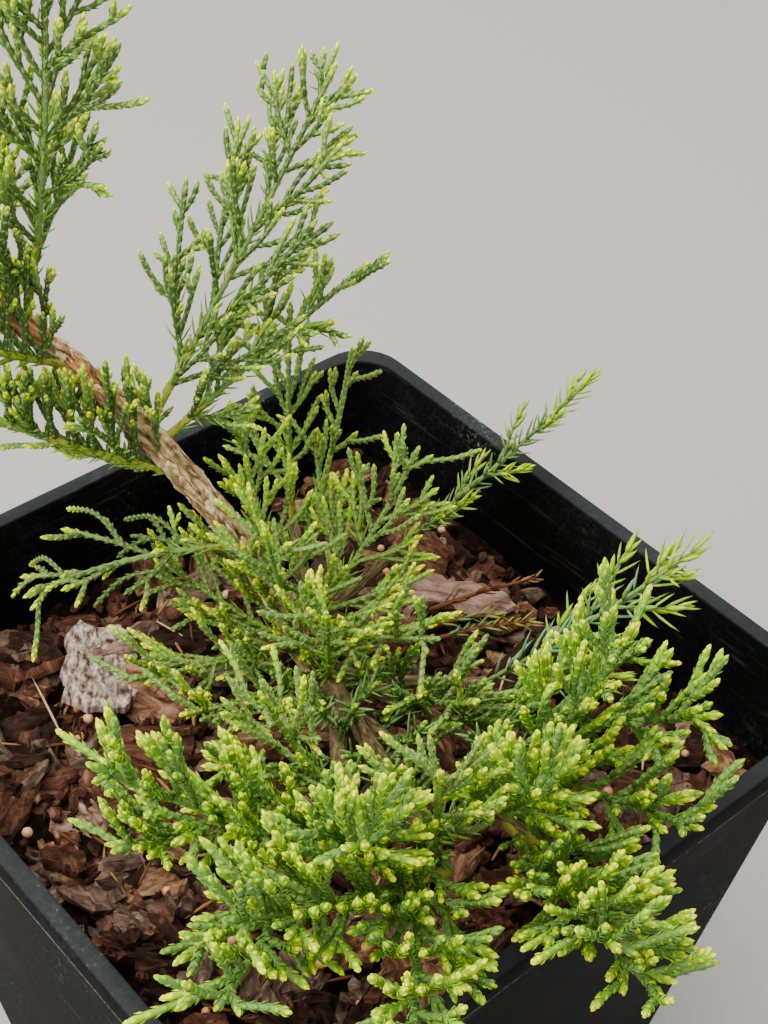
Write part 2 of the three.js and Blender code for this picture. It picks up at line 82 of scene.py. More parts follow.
# Limb each spray grows from, place along it, heading, rise, lift, turn, length,
# reach to the left and right, roll of its fan, side shoots, and its kind of leaf
SPRAYS = {
    "tall": ("stem", 0.86, -70, 75, 14, 0, 90, 27, 30, 0, 12, "scale"),
    "upper": ("stem", 0.6, 8, 46, -6, 10, 80, 34, 30, 0, 12, "scale"),
    "upper_right": ("stem", 0.57, -13, 35, -8, 6, 54, 20, 16, 0, 7, "scale"),
    "left_stem": ("stem", 0.5, 151, 23, 10, 0, 40, 24, 14, 60, 7, "scale"),
    "droop": ("stem", 0.33, 147, 3, -24, 10, 45, 16, 22, 0, 6, "scale"),
    "leader": ("stem", 1, 140, 31, 16, 0, 78, 24, 24, 0, 10, "scale"),
    "leader_back": ("stem", 0.94, 72, 28, 16, 0, 64, 20, 20, 0, 8, "scale"),
    "leader_side": ("stem", 0.76, 178, 31, 14, 0, 67, 20, 18, 0, 7, "scale"),
    "centre_high": ("stem", 0.11, 0, 37, 24, 0, 47, 20, 20, 30, 7, "scale"),
    "centre_back": ("stem", 0.19, 70, 32, 20, 0, 38, 16, 18, 30, 6, "scale"),
    "centre_front": ("stem", 0.15, -87, 24, 16, 0, 49, 18, 18, 0, 7, "scale"),
    "left_low": ("stem", 0.1, -177, 18, 10, 0, 48, 20, 16, 0, 7, "scale"),
    "back_low": ("stem", 0.06, 117, 14, 14, 0, 37, 18, 18, 0, 7, "scale"),
    "mid_left": ("front", 0.14, -169, 22, 12, 0, 47, 18, 18, 0, 7, "scale"),
    "mid_right": ("right", 0.4, -100, 34, 14, 0, 45, 18, 18, 0, 6, "scale"),
    "right_fan": ("right", 0.72, -63, 20, 12, 0, 60, 24, 24, 10, 9, "scale"),
    "right_fan_low": ("right", 1, -84, 17, 8, 0, 51, 20, 18, 0, 8, "scale"),
    "right_fan_high": ("right_high", 1, -62, 62, 16, 0, 45, 18, 18, 0, 7, "scale"),
    "right_needle": ("right_low", 1, -35, 37, 10, 0, 51, 18, 16, 0, 7, "needle"),
    "back_needle": ("back_right", 1, -20, 37, 8, 0, 56, 14, 12, 0, 6, "needle"),
    "back_upright": ("back", 1, 73, 80, 16, 0, 59, 15, 18, 0, 7, "scale"),
    "back_slim": ("back", 0.72, 15, 63, 14, 0, 52, 12, 12, 0, 5, "scale"),
    "left_fan": ("front_left", 1, 157, 36, 10, 0, 54, 20, 20, 0, 8, "scale"),
    "left_fan_low": ("front_left", 0.6, 178, 12, 10, 0, 50, 20, 18, 0, 7, "scale"),
    "front_fan_left": ("front_left", 0.84, -148, 16, 12, 0, 62, 22, 22, 0, 8, "scale"),
    "front_fan": ("front", 1, 180, 24, 12, 0, 54, 22, 22, 0, 8, "scale"),
    "front_fan_right": ("front_right", 1, -118, 24, 12, 0, 48, 22, 22, 0, 8, "scale"),
    "front_upright": ("front", 0.93, -137, 68, 8, 0, 36, 18, 18, 0, 7, "scale"),
    "front_right_upright": ("front_right", 0.78, -122, 50, 8, 0, 48, 18, 18, 0, 7, "scale"),
    "centre_rise": ("stem", 0.135, -148, 62, 10, 0, 46, 18, 18, 0, 7, "scale"),
    "front_rise": ("front", 0.19, -133, 60, 10, 0, 40, 18, 18, 0, 7, "scale"),
    "left_rise": ("front_left", 0.72, 160, 62, 8, 0, 36, 18, 18, 0, 6, "scale"),
    "front_near": ("front_left", 0.93, -123, 44, 12, 0, 52, 18, 18, 0, 7, "scale"),
    "right_near": ("front_right", 0.88, -104, 8, 10, 0, 50, 18, 18, 0, 8, "scale"),
    "front_low": ("front", 0.86, -134, 14, 12, 0, 58, 22, 22, 0, 8, "scale"),
}
AXIS_STEPS = 4
AXIS_RADIUS = 1.25
SHOOT_STEPS = 2
SHOOT_RADIUS = 0.85
SHOOT_SPREAD = (38, 52)
SHOOT_TILT = 70
SHOOT_LEAST = 6
CORD_PITCH = 9.5
CORD_LENGTH = (8, 15)
CORD_SPREAD = (32, 44)
CORD_TILT = 80
CORD_RADIUS = 0.95
NEEDLE_PITCH = 5.5
NEEDLE_LENGTH = (6, 9)
NEEDLE_SPREAD = (45, 60)
NEEDLE_RADIUS = 0.6

UP = np.array((0.0, 0.0, 1.0))

# Where each kind of piece starts its own random draws
SEEDS = {"chips": 21, "chip": 1000, "grey_chip": 31, "pink_chip": 32, "bed": 5, "prills": 41,
         "litter": 51, "stem": 100, "stem_flakes": 111, "boughs": 200, "bough_twigs": 300,
         "basal_twigs": 320, "dead_twigs": 400, "dead_tips": 410}


# The plant's rule of growth

def unit(a):
    """A vector's direction."""
    return a / math.sqrt(a @ a)


def mix(a, b, k):
    """The point a share k of the way from a to b."""
    return a * (1 - k) + b * k


def between(ends, k):
    """The value a share k of the way between two ends."""
    return ends[0] + (ends[1] - ends[0]) * k


def direction(heading, rise):
    """The direction with a heading from X towards Y and a rise over the level, in degrees."""
    heading, rise = math.radians(heading), math.radians(rise)
    level = math.cos(rise)
    return np.array((level * math.cos(heading), level * math.sin(heading), math.sin(rise)))


def chance(*place):
    """A fixed draw between 0 and 1 for a place in the plant, the same every time.

    The last number of a place tells apart the draws that are made there.
    """
    state = 1
    for number in place:
        state = (state + number + 1) * 48271 % 2147483647
    state = state * 16807 % 2147483647
    state = state * 16807 % 2147483647
    return state / 2147483647


def path(start, heading, rise, lift, turn, length, steps):
    """The centre line of a limb whose heading and rise change evenly from its start."""
    points = [np.asarray(start, float)]
    for i in range(steps):
        k = (i + 0.5) / steps
        way = direction(heading + turn * k, rise + lift * k)
        points.append(points[i] + way * (length / steps))
    return points


def along(points, share):
    """The point and the direction at a share of the way along a centre line."""
    place = share * (len(points) - 1)
    i = min(int(place), len(points) - 2)
    return mix(points[i], points[i + 1], place - i), unit(points[i + 1] - points[i])


def leave(way, normal, side, spread, tilt):
    """A way that leaves another by an angle, to one side of the fan and out of it by a tilt."""
    spread, tilt = math.radians(spread), math.radians(tilt)
    level = unit(np.cross(normal, way))
    out = level * side * math.cos(tilt) + normal * math.sin(tilt)
    return way * math.cos(spread) + out * math.sin(spread)


def fan_normal(way, roll):
    """The normal of a spray's fan: upwards, rolled about the spray's stem."""
    level = np.cross(way, UP)
    if math.sqrt(level @ level) <= 0.2:
        level = np.cross(way, np.array((0.5, 0.6, 0.0)))
    top = np.cross(unit(level), way)
    across = np.cross(way, top)
    roll = math.radians(roll)
    return unit(top * math.cos(roll) + across * math.sin(roll))


def grow_cords(points, normal, full, kind, seed, i):
    """The cords or needles on one shoot, in turn to the left and the right."""
    needle = kind == "needle"
    pitch = NEEDLE_PITCH if needle else CORD_PITCH
    lengths = NEEDLE_LENGTH if needle else CORD_LENGTH
    spreads = NEEDLE_SPREAD if needle else CORD_SPREAD
    count = max(1, int(full / pitch))
    cords = []
    for j in range(count):
        share = 0.2 + 0.75 * (j + 0.5) / count
        point, way = along(points, share)
        side = 1 if (i + j) % 2 == 1 else -1
        tilt = CORD_TILT * (chance(seed, i, j, 5) - 0.5)
        out = leave(way, normal, side, between(spreads, chance(seed, i, j, 6)), tilt)
        long = between(lengths, chance(seed, i, j, 7)) * (1.15 - 0.5 * share)
        cords.append((share, side, [point, point + unit(out + UP * 0.1) * long]))
    return cords


def grow_spray(start, spec, seed):
    """The centre lines of one spray: its stem, its side shoots and the cords on them."""
    _, _, heading, rise, lift, turn, length, left, right, roll, count, kind = spec
    axis = path(start, heading, rise, lift, turn, length, AXIS_STEPS)
    shoots = []
    for i in range(count):
        share = 0.1 + 0.86 * (i + 0.5 * chance(seed, i, 1)) / count
        point, way = along(axis, share)
        normal = fan_normal(way, roll)
        side = 1 if i % 2 == 1 else -1
        tilt = SHOOT_TILT * (chance(seed, i, 2) - 0.5)
        first = leave(way, normal, side, between(SHOOT_SPREAD, chance(seed, i, 3)), tilt)
        reach = left if side > 0 else right
        profile = 1.25 * (1 - share) ** 0.6 * (0.75 + 0.5 * chance(seed, i, 4))
        full = max(reach * profile, SHOOT_LEAST)
        points = [point]
        for j in range(SHOOT_STEPS):
            k = (j + 0.5) / SHOOT_STEPS
            step = unit(mix(first, way, 0.45 * k) + UP * (0.12 * k))
            points.append(points[j] + step * (full / SHOOT_STEPS))
        cords = grow_cords(points, normal, full, kind, seed, i)
        shoots.append({"points": points, "normal": normal, "full": full, "index": i,
                       "cords": cords})
    tip = []
    if kind == "needle":
        tip = grow_cords(axis, fan_normal(along(axis, 0)[1], roll), length, kind, seed, 99)
    return {"axis": axis, "shoots": shoots, "tip": tip, "kind": kind, "seed": seed,
            "roll": roll, "length": length, "reach": (right, left)}


class Placed:
    """Straight pieces already placed, each with its owner and radius."""

    def __init__(self):
        self.rows = []
        self.owners = []

    def add(self, points, radius, owner):
        for a, b in zip(points, points[1:]):
            self.rows.append((*a, *b, radius))
            self.owners.append(owner)

    def clear(self, points, radius, owner):
        """Whether the pieces of other owners are all farther off than the gap asks."""
        rows = np.array(self.rows)
        others = rows[np.array(self.owners) != owner]
        b0, v, thick = others[:, :3], others[:, 3:6] - others[:, :3], others[:, 6]
        for a0, a1 in zip(points, points[1:]):
            u, w = a1 - a0, a0 - b0
            uu, uv, vv = u @ u, v @ u, (v * v).sum(1)
            uw, vw = w @ u, (w * v).sum(1)
            spread = uu * vv - uv * uv
            safe = np.where(spread > 1e-9, spread, 1.0)
            s = np.where(spread > 1e-9, np.clip((uv * vw - vv * uw) / safe, 0, 1), 0.0)
            t = np.clip((uv * s + vw) / vv, 0, 1)
            s = np.clip((uv * t - uw) / uu, 0, 1)
            apart = (a0 + s[:, None] * u) - (b0 + t[:, None] * v)
            if np.any(np.sqrt((apart * apart).sum(1)) < radius + thick + 2 * GAP):
                return False
        return True


def grow_plant():
    """The centre lines of the stem and boughs, and of the sprays' shoots that stay clear."""
    foot = (*STEM["foot"], MEDIUM_TOP + GAP)
    lines = {"stem": path(foot, STEM["heading"], STEM["rise"], STEM["lift"], STEM["turn"],
                          STEM["length"], STEM_STEPS)}
    placed = Placed()
    placed.add(lines["stem"], STEM_RADIUS[0], "stem")
    for name, (parent, share, heading, rise, lift, turn, length, thick, _) in BOUGHS.items():
        start, _ = along(lines[parent], share)
        lines[name] = path(start, heading, rise, lift, turn, length, BOUGH_STEPS)
        placed.add(lines[name], thick, name)
    sprays = {}
    for seed, (name, spec) in enumerate(SPRAYS.items(), 1):
        start, _ = along(lines[spec[0]], spec[1])
        sprays[name] = grow_spray(start, spec, seed)
        placed.add(sprays[name]["axis"], AXIS_RADIUS, name)
    for name, spray in sprays.items():
        radius = NEEDLE_RADIUS if spray["kind"] == "needle" else CORD_RADIUS

        def keep(cords):
            """The cords that stay clear of the other sprays, placed as they are kept."""
            kept = []
            for cord in cords:
                root, end = cord[2]
                if placed.clear([mix(root, end, 0.25), end], radius, name):
                    placed.add(cord[2], radius, name)
                    kept.append(cord)
            return kept

        spray["tip"] = keep(spray["tip"])
        shoots = []
        for shoot in spray["shoots"]:
            if placed.clear(shoot["points"], SHOOT_RADIUS, name):
                placed.add(shoot["points"], SHOOT_RADIUS, name)
                shoot["cords"] = keep(shoot["cords"])
                shoots.append(shoot)
        spray["shoots"] = shoots
    return lines, sprays


# Bark chips

# The two large chips' outlines in millimetres, seen from above
GREY_CHIP = ((-12, -6), (-7, -8.5), (-1, -7), (3, -8), (9, -6.5), (12.5, -3), (11, 1), (13, 4.5),
             (8, 7.5), (3, 6), (-2, 8), (-6, 6.5), (-10, 7), (-12.5, 2))
PINK_CHIP = ((-13, -3), (-8, -5), (-2, -4.2), (5, -5), (11, -3.5), (14, -0.5), (10, 3), (4, 4.2),
             (-1, 3.6), (-7, 5), (-12, 3))

# The chips' tones, each a name, places on its ramp from hollow to raised edge, and colours: the
# darkest stops are painted shade in the grain's hollows, the palest a painted highlight on its
# raised edges, and those between the chip's own browns and greys
CHIP_TONES = (
    ("chip_red_brown", (0.3, 0.46, 0.6, 0.78), ("#1a0d08", "#3e241a", "#624133", "#a07a66")),
    ("chip_dark_brown", (0.32, 0.48, 0.62, 0.8), ("#0b0604", "#241510", "#40291e", "#7a5947")),
    ("chip_grey_brown", (0.3, 0.46, 0.6, 0.78), ("#1e1510", "#4a3a31", "#705b4f", "#ab9585")),
    ("chip_tan", (0.3, 0.46, 0.6, 0.78), ("#2e1b11", "#64442f", "#93705a", "#c8a98f")),
    ("chip_pink_grey", (0.3, 0.46, 0.6, 0.78), ("#2e201a", "#644d42", "#8f786b", "#c0aa9c")),
    ("chip_pitted_grey", (0.37, 0.45, 0.53, 0.64), ("#33231c", "#6d5b51", "#978980", "#d2c8c0")),
    ("chip_pale_pink", (0.3, 0.44, 0.57, 0.75), ("#33231e", "#765a50", "#957a6f", "#c0a89a")),
)
# A chip's grain per 10 mm along and across it, how twisted it is, and its depth in millimetres
TORN = ((1.6, 4.2, 1.0), 1.0, 1.5)
PITTED = ((3.6, 6.4, 1.0), 0.3, 0.8)


# Meshes from arrays

def linear(colour):
    """An sRGB hex colour as linear red, green, blue and alpha."""
    parts = [int(colour[i:i + 2], 16) / 255 for i in (1, 3, 5)]
    return (*[c / 12.92 if c <= 0.04045 else ((c + 0.055) / 1.055) ** 2.4 for c in parts], 1.0)


class Heap:
    """Points, triangles and their material slots, gathered into one mesh."""

    def __init__(self):
        self.points, self.triangles, self.slots, self.uvs, self.count = [], [], [], [], 0

    def add(self, points, triangles, slots, uvs=None):
        self.points.append(np.asarray(points, float).reshape(-1, 3))
        self.triangles.append(np.asarray(triangles, int).reshape(-1, 3) + self.count)
        self.slots.append(np.broadcast_to(slots, len(self.triangles[-1])))
        if uvs is not None:
            self.uvs.append(uvs)
        self.count += len(self.points[-1])

    def build(self, name, materials):
        """The gathered triangles as one smooth mesh object in metres."""
        points = np.concatenate(self.points) * MM
        triangles = np.concatenate(self.triangles)
        mesh = bpy.data.meshes.new(name)
        mesh.vertices.add(len(points))
        mesh.vertices.foreach_set("co", points.ravel())
        mesh.loops.add(triangles.size)
        mesh.loops.foreach_set("vertex_index", triangles.ravel())
        mesh.polygons.add(len(triangles))
        mesh.polygons.foreach_set("loop_start", np.arange(len(triangles)) * 3)
        mesh.polygons.foreach_set("material_index", np.concatenate(self.slots))
        mesh.polygons.foreach_set("use_smooth", np.ones(len(triangles), bool))
        if self.uvs:
            layer = mesh.uv_layers.new(name="along")
            layer.data.foreach_set("uv", np.concatenate(self.uvs)[triangles.ravel()].ravel())
        mesh.update(calc_edges=True)
        mesh.validate()
        piece = bpy.data.objects.new(name, mesh)
        bpy.context.scene.collection.objects.link(piece)
        for material in materials:
            mesh.materials.append(material)
        return piece


def smooth_line(points, step):
    """A rounded line through the points, with a point about every step, and its arc lengths."""
    points = np.asarray(points)
    if len(points) == 2:
        fine = points
    else:
        ends = np.vstack((2 * points[0] - points[1], points, 2 * points[-1] - points[-2]))
        parts = []
        for p0, p1, p2, p3 in zip(ends, ends[1:], ends[2:], ends[3:]):
            t = np.linspace(0, 1, 8, endpoint=False)[:, None]
            parts.append(0.5 * (2 * p1 + (p2 - p0) * t + (2 * p0 - 5 * p1 + 4 * p2 - p3) * t ** 2
                                + (3 * p1 - p0 - 3 * p2 + p3) * t ** 3))
        fine = np.vstack((*parts, points[-1:]))
    runs = np.concatenate(([0], np.cumsum(np.linalg.norm(np.diff(fine, axis=0), axis=1))))
    count = max(2, int(round(runs[-1] / step)) + 1)
    where = np.linspace(0, runs[-1], count)
    return np.stack([np.interp(where, runs, fine[:, k]) for k in range(3)], 1), where


def frames(line, normal):
    """Unit ways along a line, and two unit sides that turn with it."""
    ways = np.gradient(line, axis=0)
    ways /= np.linalg.norm(ways, axis=1)[:, None]
    across = np.cross(normal, ways)
    across /= np.linalg.norm(across, axis=1)[:, None]
    return ways, across, np.cross(ways, across)


def tube_faces(rings, sides):
    """The triangles between rings of points, one ring after the other."""
    a = (np.arange(rings - 1)[:, None] * sides + np.arange(sides)[None]).ravel()
    b = (np.arange(rings - 1)[:, None] * sides + (np.arange(sides)[None] + 1) % sides).ravel()
    return np.concatenate((np.stack((a, b, b + sides), 1), np.stack((a, b + sides, a + sides), 1)))


def closed_faces(rings, sides):
    """The triangles between rings, and those to a point at each end that follows the rings'."""
    i, j = np.arange(sides), (np.arange(sides) + 1) % sides
    last = (rings - 1) * sides
    start = np.stack((np.full(sides, rings * sides), j, i), 1)
    end = np.stack((last + i, last + j, np.full(sides, rings * sides + 1)), 1)
    return np.concatenate((tube_faces(rings, sides), start, end))


def tube(line, normal, radii, sides):
    """A closed limb along a line, with radii for its rings or for each point of them."""
    _, across, up = frames(line, normal)
    angle = 2 * np.pi * np.arange(sides) / sides
    ring = (across[:, None] * np.cos(angle)[None, :, None]
            + up[:, None] * np.sin(angle)[None, :, None])
    points = line[:, None] + ring * np.reshape(radii, (len(line), -1, 1))
    points = np.vstack((points.reshape(-1, 3), line[0], line[-1]))
    return points, closed_faces(len(line), sides)


def lattice_noise(x, y, seed, wrap=64):
    """Smooth noise between 0 and 1 on a square lattice that repeats after `wrap` cells."""
    table = np.random.default_rng(seed).random((wrap, wrap))
    xi, yi = np.floor(x).astype(int), np.floor(y).astype(int)
    fx, fy = x - xi, y - yi
    fx, fy = fx * fx * (3 - 2 * fx), fy * fy * (3 - 2 * fy)
    x0, x1, y0, y1 = xi % wrap, (xi + 1) % wrap, yi % wrap, (yi + 1) % wrap
    low = table[x0, y0] * (1 - fx) + table[x1, y0] * fx
    high = table[x0, y1] * (1 - fx) + table[x1, y1] * fx
    return low * (1 - fy) + high * fy


# Materials

def add_node(material, kind, links=None, **settings):
    """Adds a node to a material, sets its values and links its inputs from other sockets."""
    tree = material.node_tree
    node = tree.nodes.new(kind)
    for key, value in settings.items():
        if key.startswith("in_"):
            key = key[3:]
            socket = node.inputs[int(key)] if key.isdigit() else node.inputs[key.replace("_", " ")]
            socket.default_value = value
        else:
            setattr(node, key, value)
    for name, source in (links or {}).items():
        tree.links.new(source, node.inputs[name])
    return node


def new_material(name, **values):
    """A material with a Principled shader whose plain values are set on its own sockets."""
    material = bpy.data.materials.new(name)
    material.use_nodes = True
    shader = material.node_tree.nodes["Principled BSDF"]
    for key, value in values.items():
        shader.inputs[key.replace("_", " ")].default_value = value
    return material, shader


def wire(shader, **sources):
    """Links inputs of a shader, whose names' spaces are written as underscores here."""
    for name, source in sources.items():
        shader.id_data.links.new(source, shader.inputs[name.replace("_", " ")])


def ramp(material, factor, stops):
    """A colour ramp over (place, hex colour) stops."""
    node = add_node(material, "ShaderNodeValToRGB", {"Fac": factor})
    elements = node.color_ramp.elements
    while len(elements) < len(stops):
        elements.new(0.5)
    for element, (place, colour) in zip(elements, stops):
        element.position = place
        element.color = linear(colour)
    return node.outputs["Color"]


# Living scale leaves: a waxy satin skin, so one plain colour each and a soft gloss
LEAF_TONES = {
    "leaf_shaded_green": "#5e8046",
    "leaf_dark_green": "#68922e",
    "leaf_mid_green": "#7ea424",
    "leaf_fresh_green": "#98bc10",
    "leaf_yellow_green": "#b2ca00",
    "leaf_tip_yellow": "#e4e600",
    "leaf_deep_olive": "#688248",
    "leaf_deep_green": "#749a40",
    "leaf_clear_green": "#8ea836",
    # painted shade on the cord cores between the oldest scale leaves
    "leaf_crevice_shade_green": "#46602c",
    "leaf_grey_green": "#6a8440",
    "leaf_pale_grey_green": "#8c9e38",
    "needle_glaucous": "#5f8c66",
    "leaf_withered": "#80623a",
    "leaf_dead_red_brown": "#5a3422",
    "straw_pale": "#b59a74",
    "young_bark_olive": "#7c8030",
    "young_bark_green": "#8f9a34",
}
TONES = list(LEAF_TONES)


def leaf_materials():
    """The leaf colours as materials, in the order of their slots."""
    found = []
    for name, colour in LEAF_TONES.items():
        material, _ = new_material(name, Base_Color=linear(colour), Roughness=0.52,
                                   Specular_IOR_Level=0.08)
        found.append(material)
    return found


# Colours of each bark from the grooves to the palest edges, and their places on the ramp: the
# darkest stops are painted shade in the grooves, the palest a painted highlight on the edges, and
# those between the bark's own colours
BARK_PLACES = (0.27, 0.37, 0.47, 0.58, 0.72)
BARK_TONES = {
    "flaking_grey_bark": ("#0e0803", "#42301c", "#866c46", "#bea476", "#f2e4c2"),
    "peeling_red_bark": ("#28140a", "#6c3c22", "#a4653f", "#c48f66", "#e6d0b4"),
    "lifted_pale_flake": ("#22160e", "#5e4932", "#8e7456", "#b89e7c", "#e6d5ba"),
    "dull_bough_bark": ("#0c0804", "#2c2416", "#4c4028", "#6c5c3c", "#948462"),
}


def bark_material(name):
    """Thin flaking bark: grey-tan plates that lift from a red-brown under-bark."""
    material, shader = new_material(name, Roughness=0.85, Specular_IOR_Level=0.25)
    uv = add_node(material, "ShaderNodeTexCoord").outputs["UV"]
    # one UV unit is 10 mm along the limb and half the way round it, so the streaks come out
    # about 2 mm wide on the stem and 5 mm long
    place = add_node(material, "ShaderNodeMapping", {"Vector": uv}, in_Scale=(5.0, 2.0, 1))
    plates = add_node(material, "ShaderNodeTexNoise", {"Vector": place.outputs[0]},
                      in_Scale=1.0, in_Detail=7.0, in_Roughness=0.7, in_Distortion=0.9)
    # pointiness shifts the ramp: darker in hollows and grooves, painted shade, and paler on raised
    # edges, a painted highlight
    hollow = add_node(material, "ShaderNodeNewGeometry").outputs["Pointiness"]
    scuffs_and_painted_shading = add_node(material, "ShaderNodeMapRange", {"Value": hollow},
                    in_1=0.42, in_2=0.58, in_3=-0.2, in_4=0.16)
    blend = add_node(material, "ShaderNodeMath",
                     {0: plates.outputs["Fac"], 1: scuffs_and_painted_shading.outputs[0]}, operation="ADD")
    colour = ramp(material, blend.outputs[0], list(zip(BARK_PLACES, BARK_TONES[name])))
    bump = add_node(material, "ShaderNodeBump", {"Height": plates.outputs["Fac"]},
                    in_Strength=1.0, in_Distance=0.0012)
    wire(shader, Base_Color=colour, Normal=bump.outputs[0])
    return material


def chip_material(name, stops, seed, grain_scale, twist, depth):
    """Weathered bark chip: torn layers along the flake, with painted shade in the hollows of its
    grain and a painted highlight on its raised edges.
    """
    material, shader = new_material(name, Roughness=0.82, Specular_IOR_Level=0.12)
    place = add_node(material, "ShaderNodeTexCoord").outputs["UV"]
    # one UV unit is 10 mm: torn layers come out about 2.4 mm across and 6 mm long, and the
    # pits of the pitted chip about 1.6 mm across and 2.8 mm long
    grain = add_node(material, "ShaderNodeMapping", {"Vector": place}, in_Scale=grain_scale,
                     in_Location=(seed, seed * 3, 0))
    layers = add_node(material, "ShaderNodeTexNoise", {"Vector": grain.outputs[0]},
                      in_Scale=1.0, in_Detail=7.0, in_Roughness=0.68, in_Distortion=twist)
    # the colour follows the same noise as the bump, so its dark end is painted shade in the bump's
    # hollows and its pale end a painted highlight on the crests
    colour = ramp(material, layers.outputs["Fac"], stops)
    bump = add_node(material, "ShaderNodeBump", {"Height": layers.outputs["Fac"]},
                    in_Strength=1.0, in_Distance=depth * MM)
    wire(shader, Base_Color=colour, Normal=bump.outputs[0])
    return material


def soil_material():
    """Moist composted bark: nearly black crumbs with a few light grains."""
    material, shader = new_material("moist_compost", Roughness=0.9, Specular_IOR_Level=0.05)
    place = add_node(material, "ShaderNodeTexCoord").outputs["Object"]
    # crumbs about 2 mm across
    crumbs = add_node(material, "ShaderNodeTexNoise", {"Vector": place},
                      in_Scale=450.0, in_Detail=6.0, in_Roughness=0.7)
    colour = ramp(material, crumbs.outputs["Fac"], [
        (0.38, "#060302"), (0.54, "#140b06"), (0.66, "#2c1b11"), (0.8, "#5a3f2a")])
    bump = add_node(material, "ShaderNodeBump", {"Height": crumbs.outputs["Fac"]},
                    in_Strength=0.9, in_Distance=0.0015)
    wire(shader, Base_Color=colour, Normal=bump.outputs[0])
    return material


def pot_material():
    """Injection-moulded black polypropylene: satin, with dust specks and scuffs, and on the rim's
    upper face a lighter film that is a painted sheen with a few dust specks.
    """
    material, shader = new_material("moulded_black_polypropylene", Specular_IOR_Level=0.03)
    place = add_node(material, "ShaderNodeTexCoord").outputs["Object"]
    # dust specks about 1 mm across, thicker in clouds about 40 mm across
    specks = add_node(material, "ShaderNodeTexNoise", {"Vector": place},
                      in_Scale=900.0, in_Detail=3.0, in_Roughness=0.8)
    clouds = add_node(material, "ShaderNodeTexNoise", {"Vector": place},
                      in_Scale=26.0, in_Detail=5.0, in_Roughness=0.6)
    dust = add_node(material, "ShaderNodeMath",
                    {0: specks.outputs["Fac"], 1: clouds.outputs["Fac"]}, operation="MULTIPLY")
    wall = ramp(material, dust.outputs[0], [
        (0.0, "#050607"), (0.24, "#08090a"), (0.33, "#131617"), (0.39, "#2a2e2f"),
        (0.46, "#7d7e78")])
    # the rim's upper face, its last 1 mm of height, is painted lighter as a sheen where the light
    # falls on it: an even film with a few dust specks
    rim_sheen_and_dust = ramp(material, dust.outputs[0], [
        (0.1, "#1c1f21"), (0.3, "#23282a"), (0.38, "#2e3335"), (0.45, "#7e807c")])
    height = add_node(material, "ShaderNodeSeparateXYZ", {0: place}).outputs["Z"]
    rim_top_mask = add_node(material, "ShaderNodeMapRange", {"Value": height},
                       in_1=(POT_HEIGHT - 0.8) * MM, in_2=(POT_HEIGHT - 0.1) * MM)
    wall_and_rim_sheen = add_node(material, "ShaderNodeMix", {0: rim_top_mask.outputs[0], 6: wall, 7: rim_sheen_and_dust},
                      data_type="RGBA")
    # scuffs about 20 mm long and 1 mm high, and a pale line along the rim's lower edge
    level = add_node(material, "ShaderNodeMapping", {"Vector": place}, in_Scale=(50, 50, 700))
    scuffs = add_node(material, "ShaderNodeTexNoise", {"Vector": level.outputs[0]},
                      in_Scale=1.0, in_Detail=4.0, in_Roughness=0.7)
    scuffs_and_painted_shading = add_node(material, "ShaderNodeMapRange", {"Value": scuffs.outputs["Fac"]},
                    in_1=0.6, in_2=0.76, in_3=0.0, in_4=0.09)
    edge = add_node(material, "ShaderNodeMath", {0: height}, operation="COMPARE",
                    in_1=(POT_HEIGHT - RIM_DROP + 1.0) * MM, in_2=0.4 * MM)
    split = add_node(material, "ShaderNodeVectorMath", {0: place}, operation="ABSOLUTE")
    sides = add_node(material, "ShaderNodeSeparateXYZ", {0: split.outputs[0]})
    far = add_node(material, "ShaderNodeMath", {0: sides.outputs["X"], 1: sides.outputs["Y"]},
                   operation="MAXIMUM")
    outer = add_node(material, "ShaderNodeMath", {0: far.outputs[0]}, operation="GREATER_THAN",
                     in_1=(RIM_HALF - 2.5) * MM)
    rim = add_node(material, "ShaderNodeMath", {0: edge.outputs[0], 1: outer.outputs[0]},
                   operation="MULTIPLY")
    line = add_node(material, "ShaderNodeMapRange", {"Value": dust.outputs[0], 4: rim.outputs[0]},
                    in_1=0.18, in_2=0.52, in_3=0.0)
    scuffs_and_pale_line = add_node(material, "ShaderNodeMath", {0: scuffs_and_painted_shading.outputs[0], 1: line.outputs[0]},
                      operation="MAXIMUM")
    colour = add_node(material, "ShaderNodeMix", {0: scuffs_and_pale_line.outputs[0], 6: wall_and_rim_sheen.outputs[2]},
                      data_type="RGBA", in_7=linear("#8c8c84"))
    rough = add_node(material, "ShaderNodeMapRange", {"Value": clouds.outputs["Fac"]},
                     in_1=0.3, in_2=0.75, in_3=0.5, in_4=0.68)
    bump = add_node(material, "ShaderNodeBump", {"Height": dust.outputs[0]},
                    in_Strength=0.15, in_Distance=0.0003)
    wire(shader, Base_Color=colour.outputs[2], Roughness=rough.outputs[0],
         Normal=bump.outputs[0])
    return material


# Foliage

# A scale leaf that hugs its cord: along the cord, out of it and across, in leaf lengths and radii
SCALE_POINTS = np.array([
    (-0.15, 0.45, 0.0), (0.42, 0.6, 0.74), (0.42, 0.6, -0.74), (0.45, 1.03, 0.0), (1.0, 1.1, 0.0)])
SCALE_FACES = np.array([(0, 1, 3), (0, 3, 2), (1, 4, 3), (3, 4, 2), (0, 4, 1), (0, 2, 4)])

# A needle: along itself, thick and wide, as shares of its length and half width
NEEDLE_RINGS = ((0.0, 0.55), (0.3, 1.0), (0.7, 0.72))
NEEDLE_THICK = 0.45
NEEDLE_BEND = 0.08


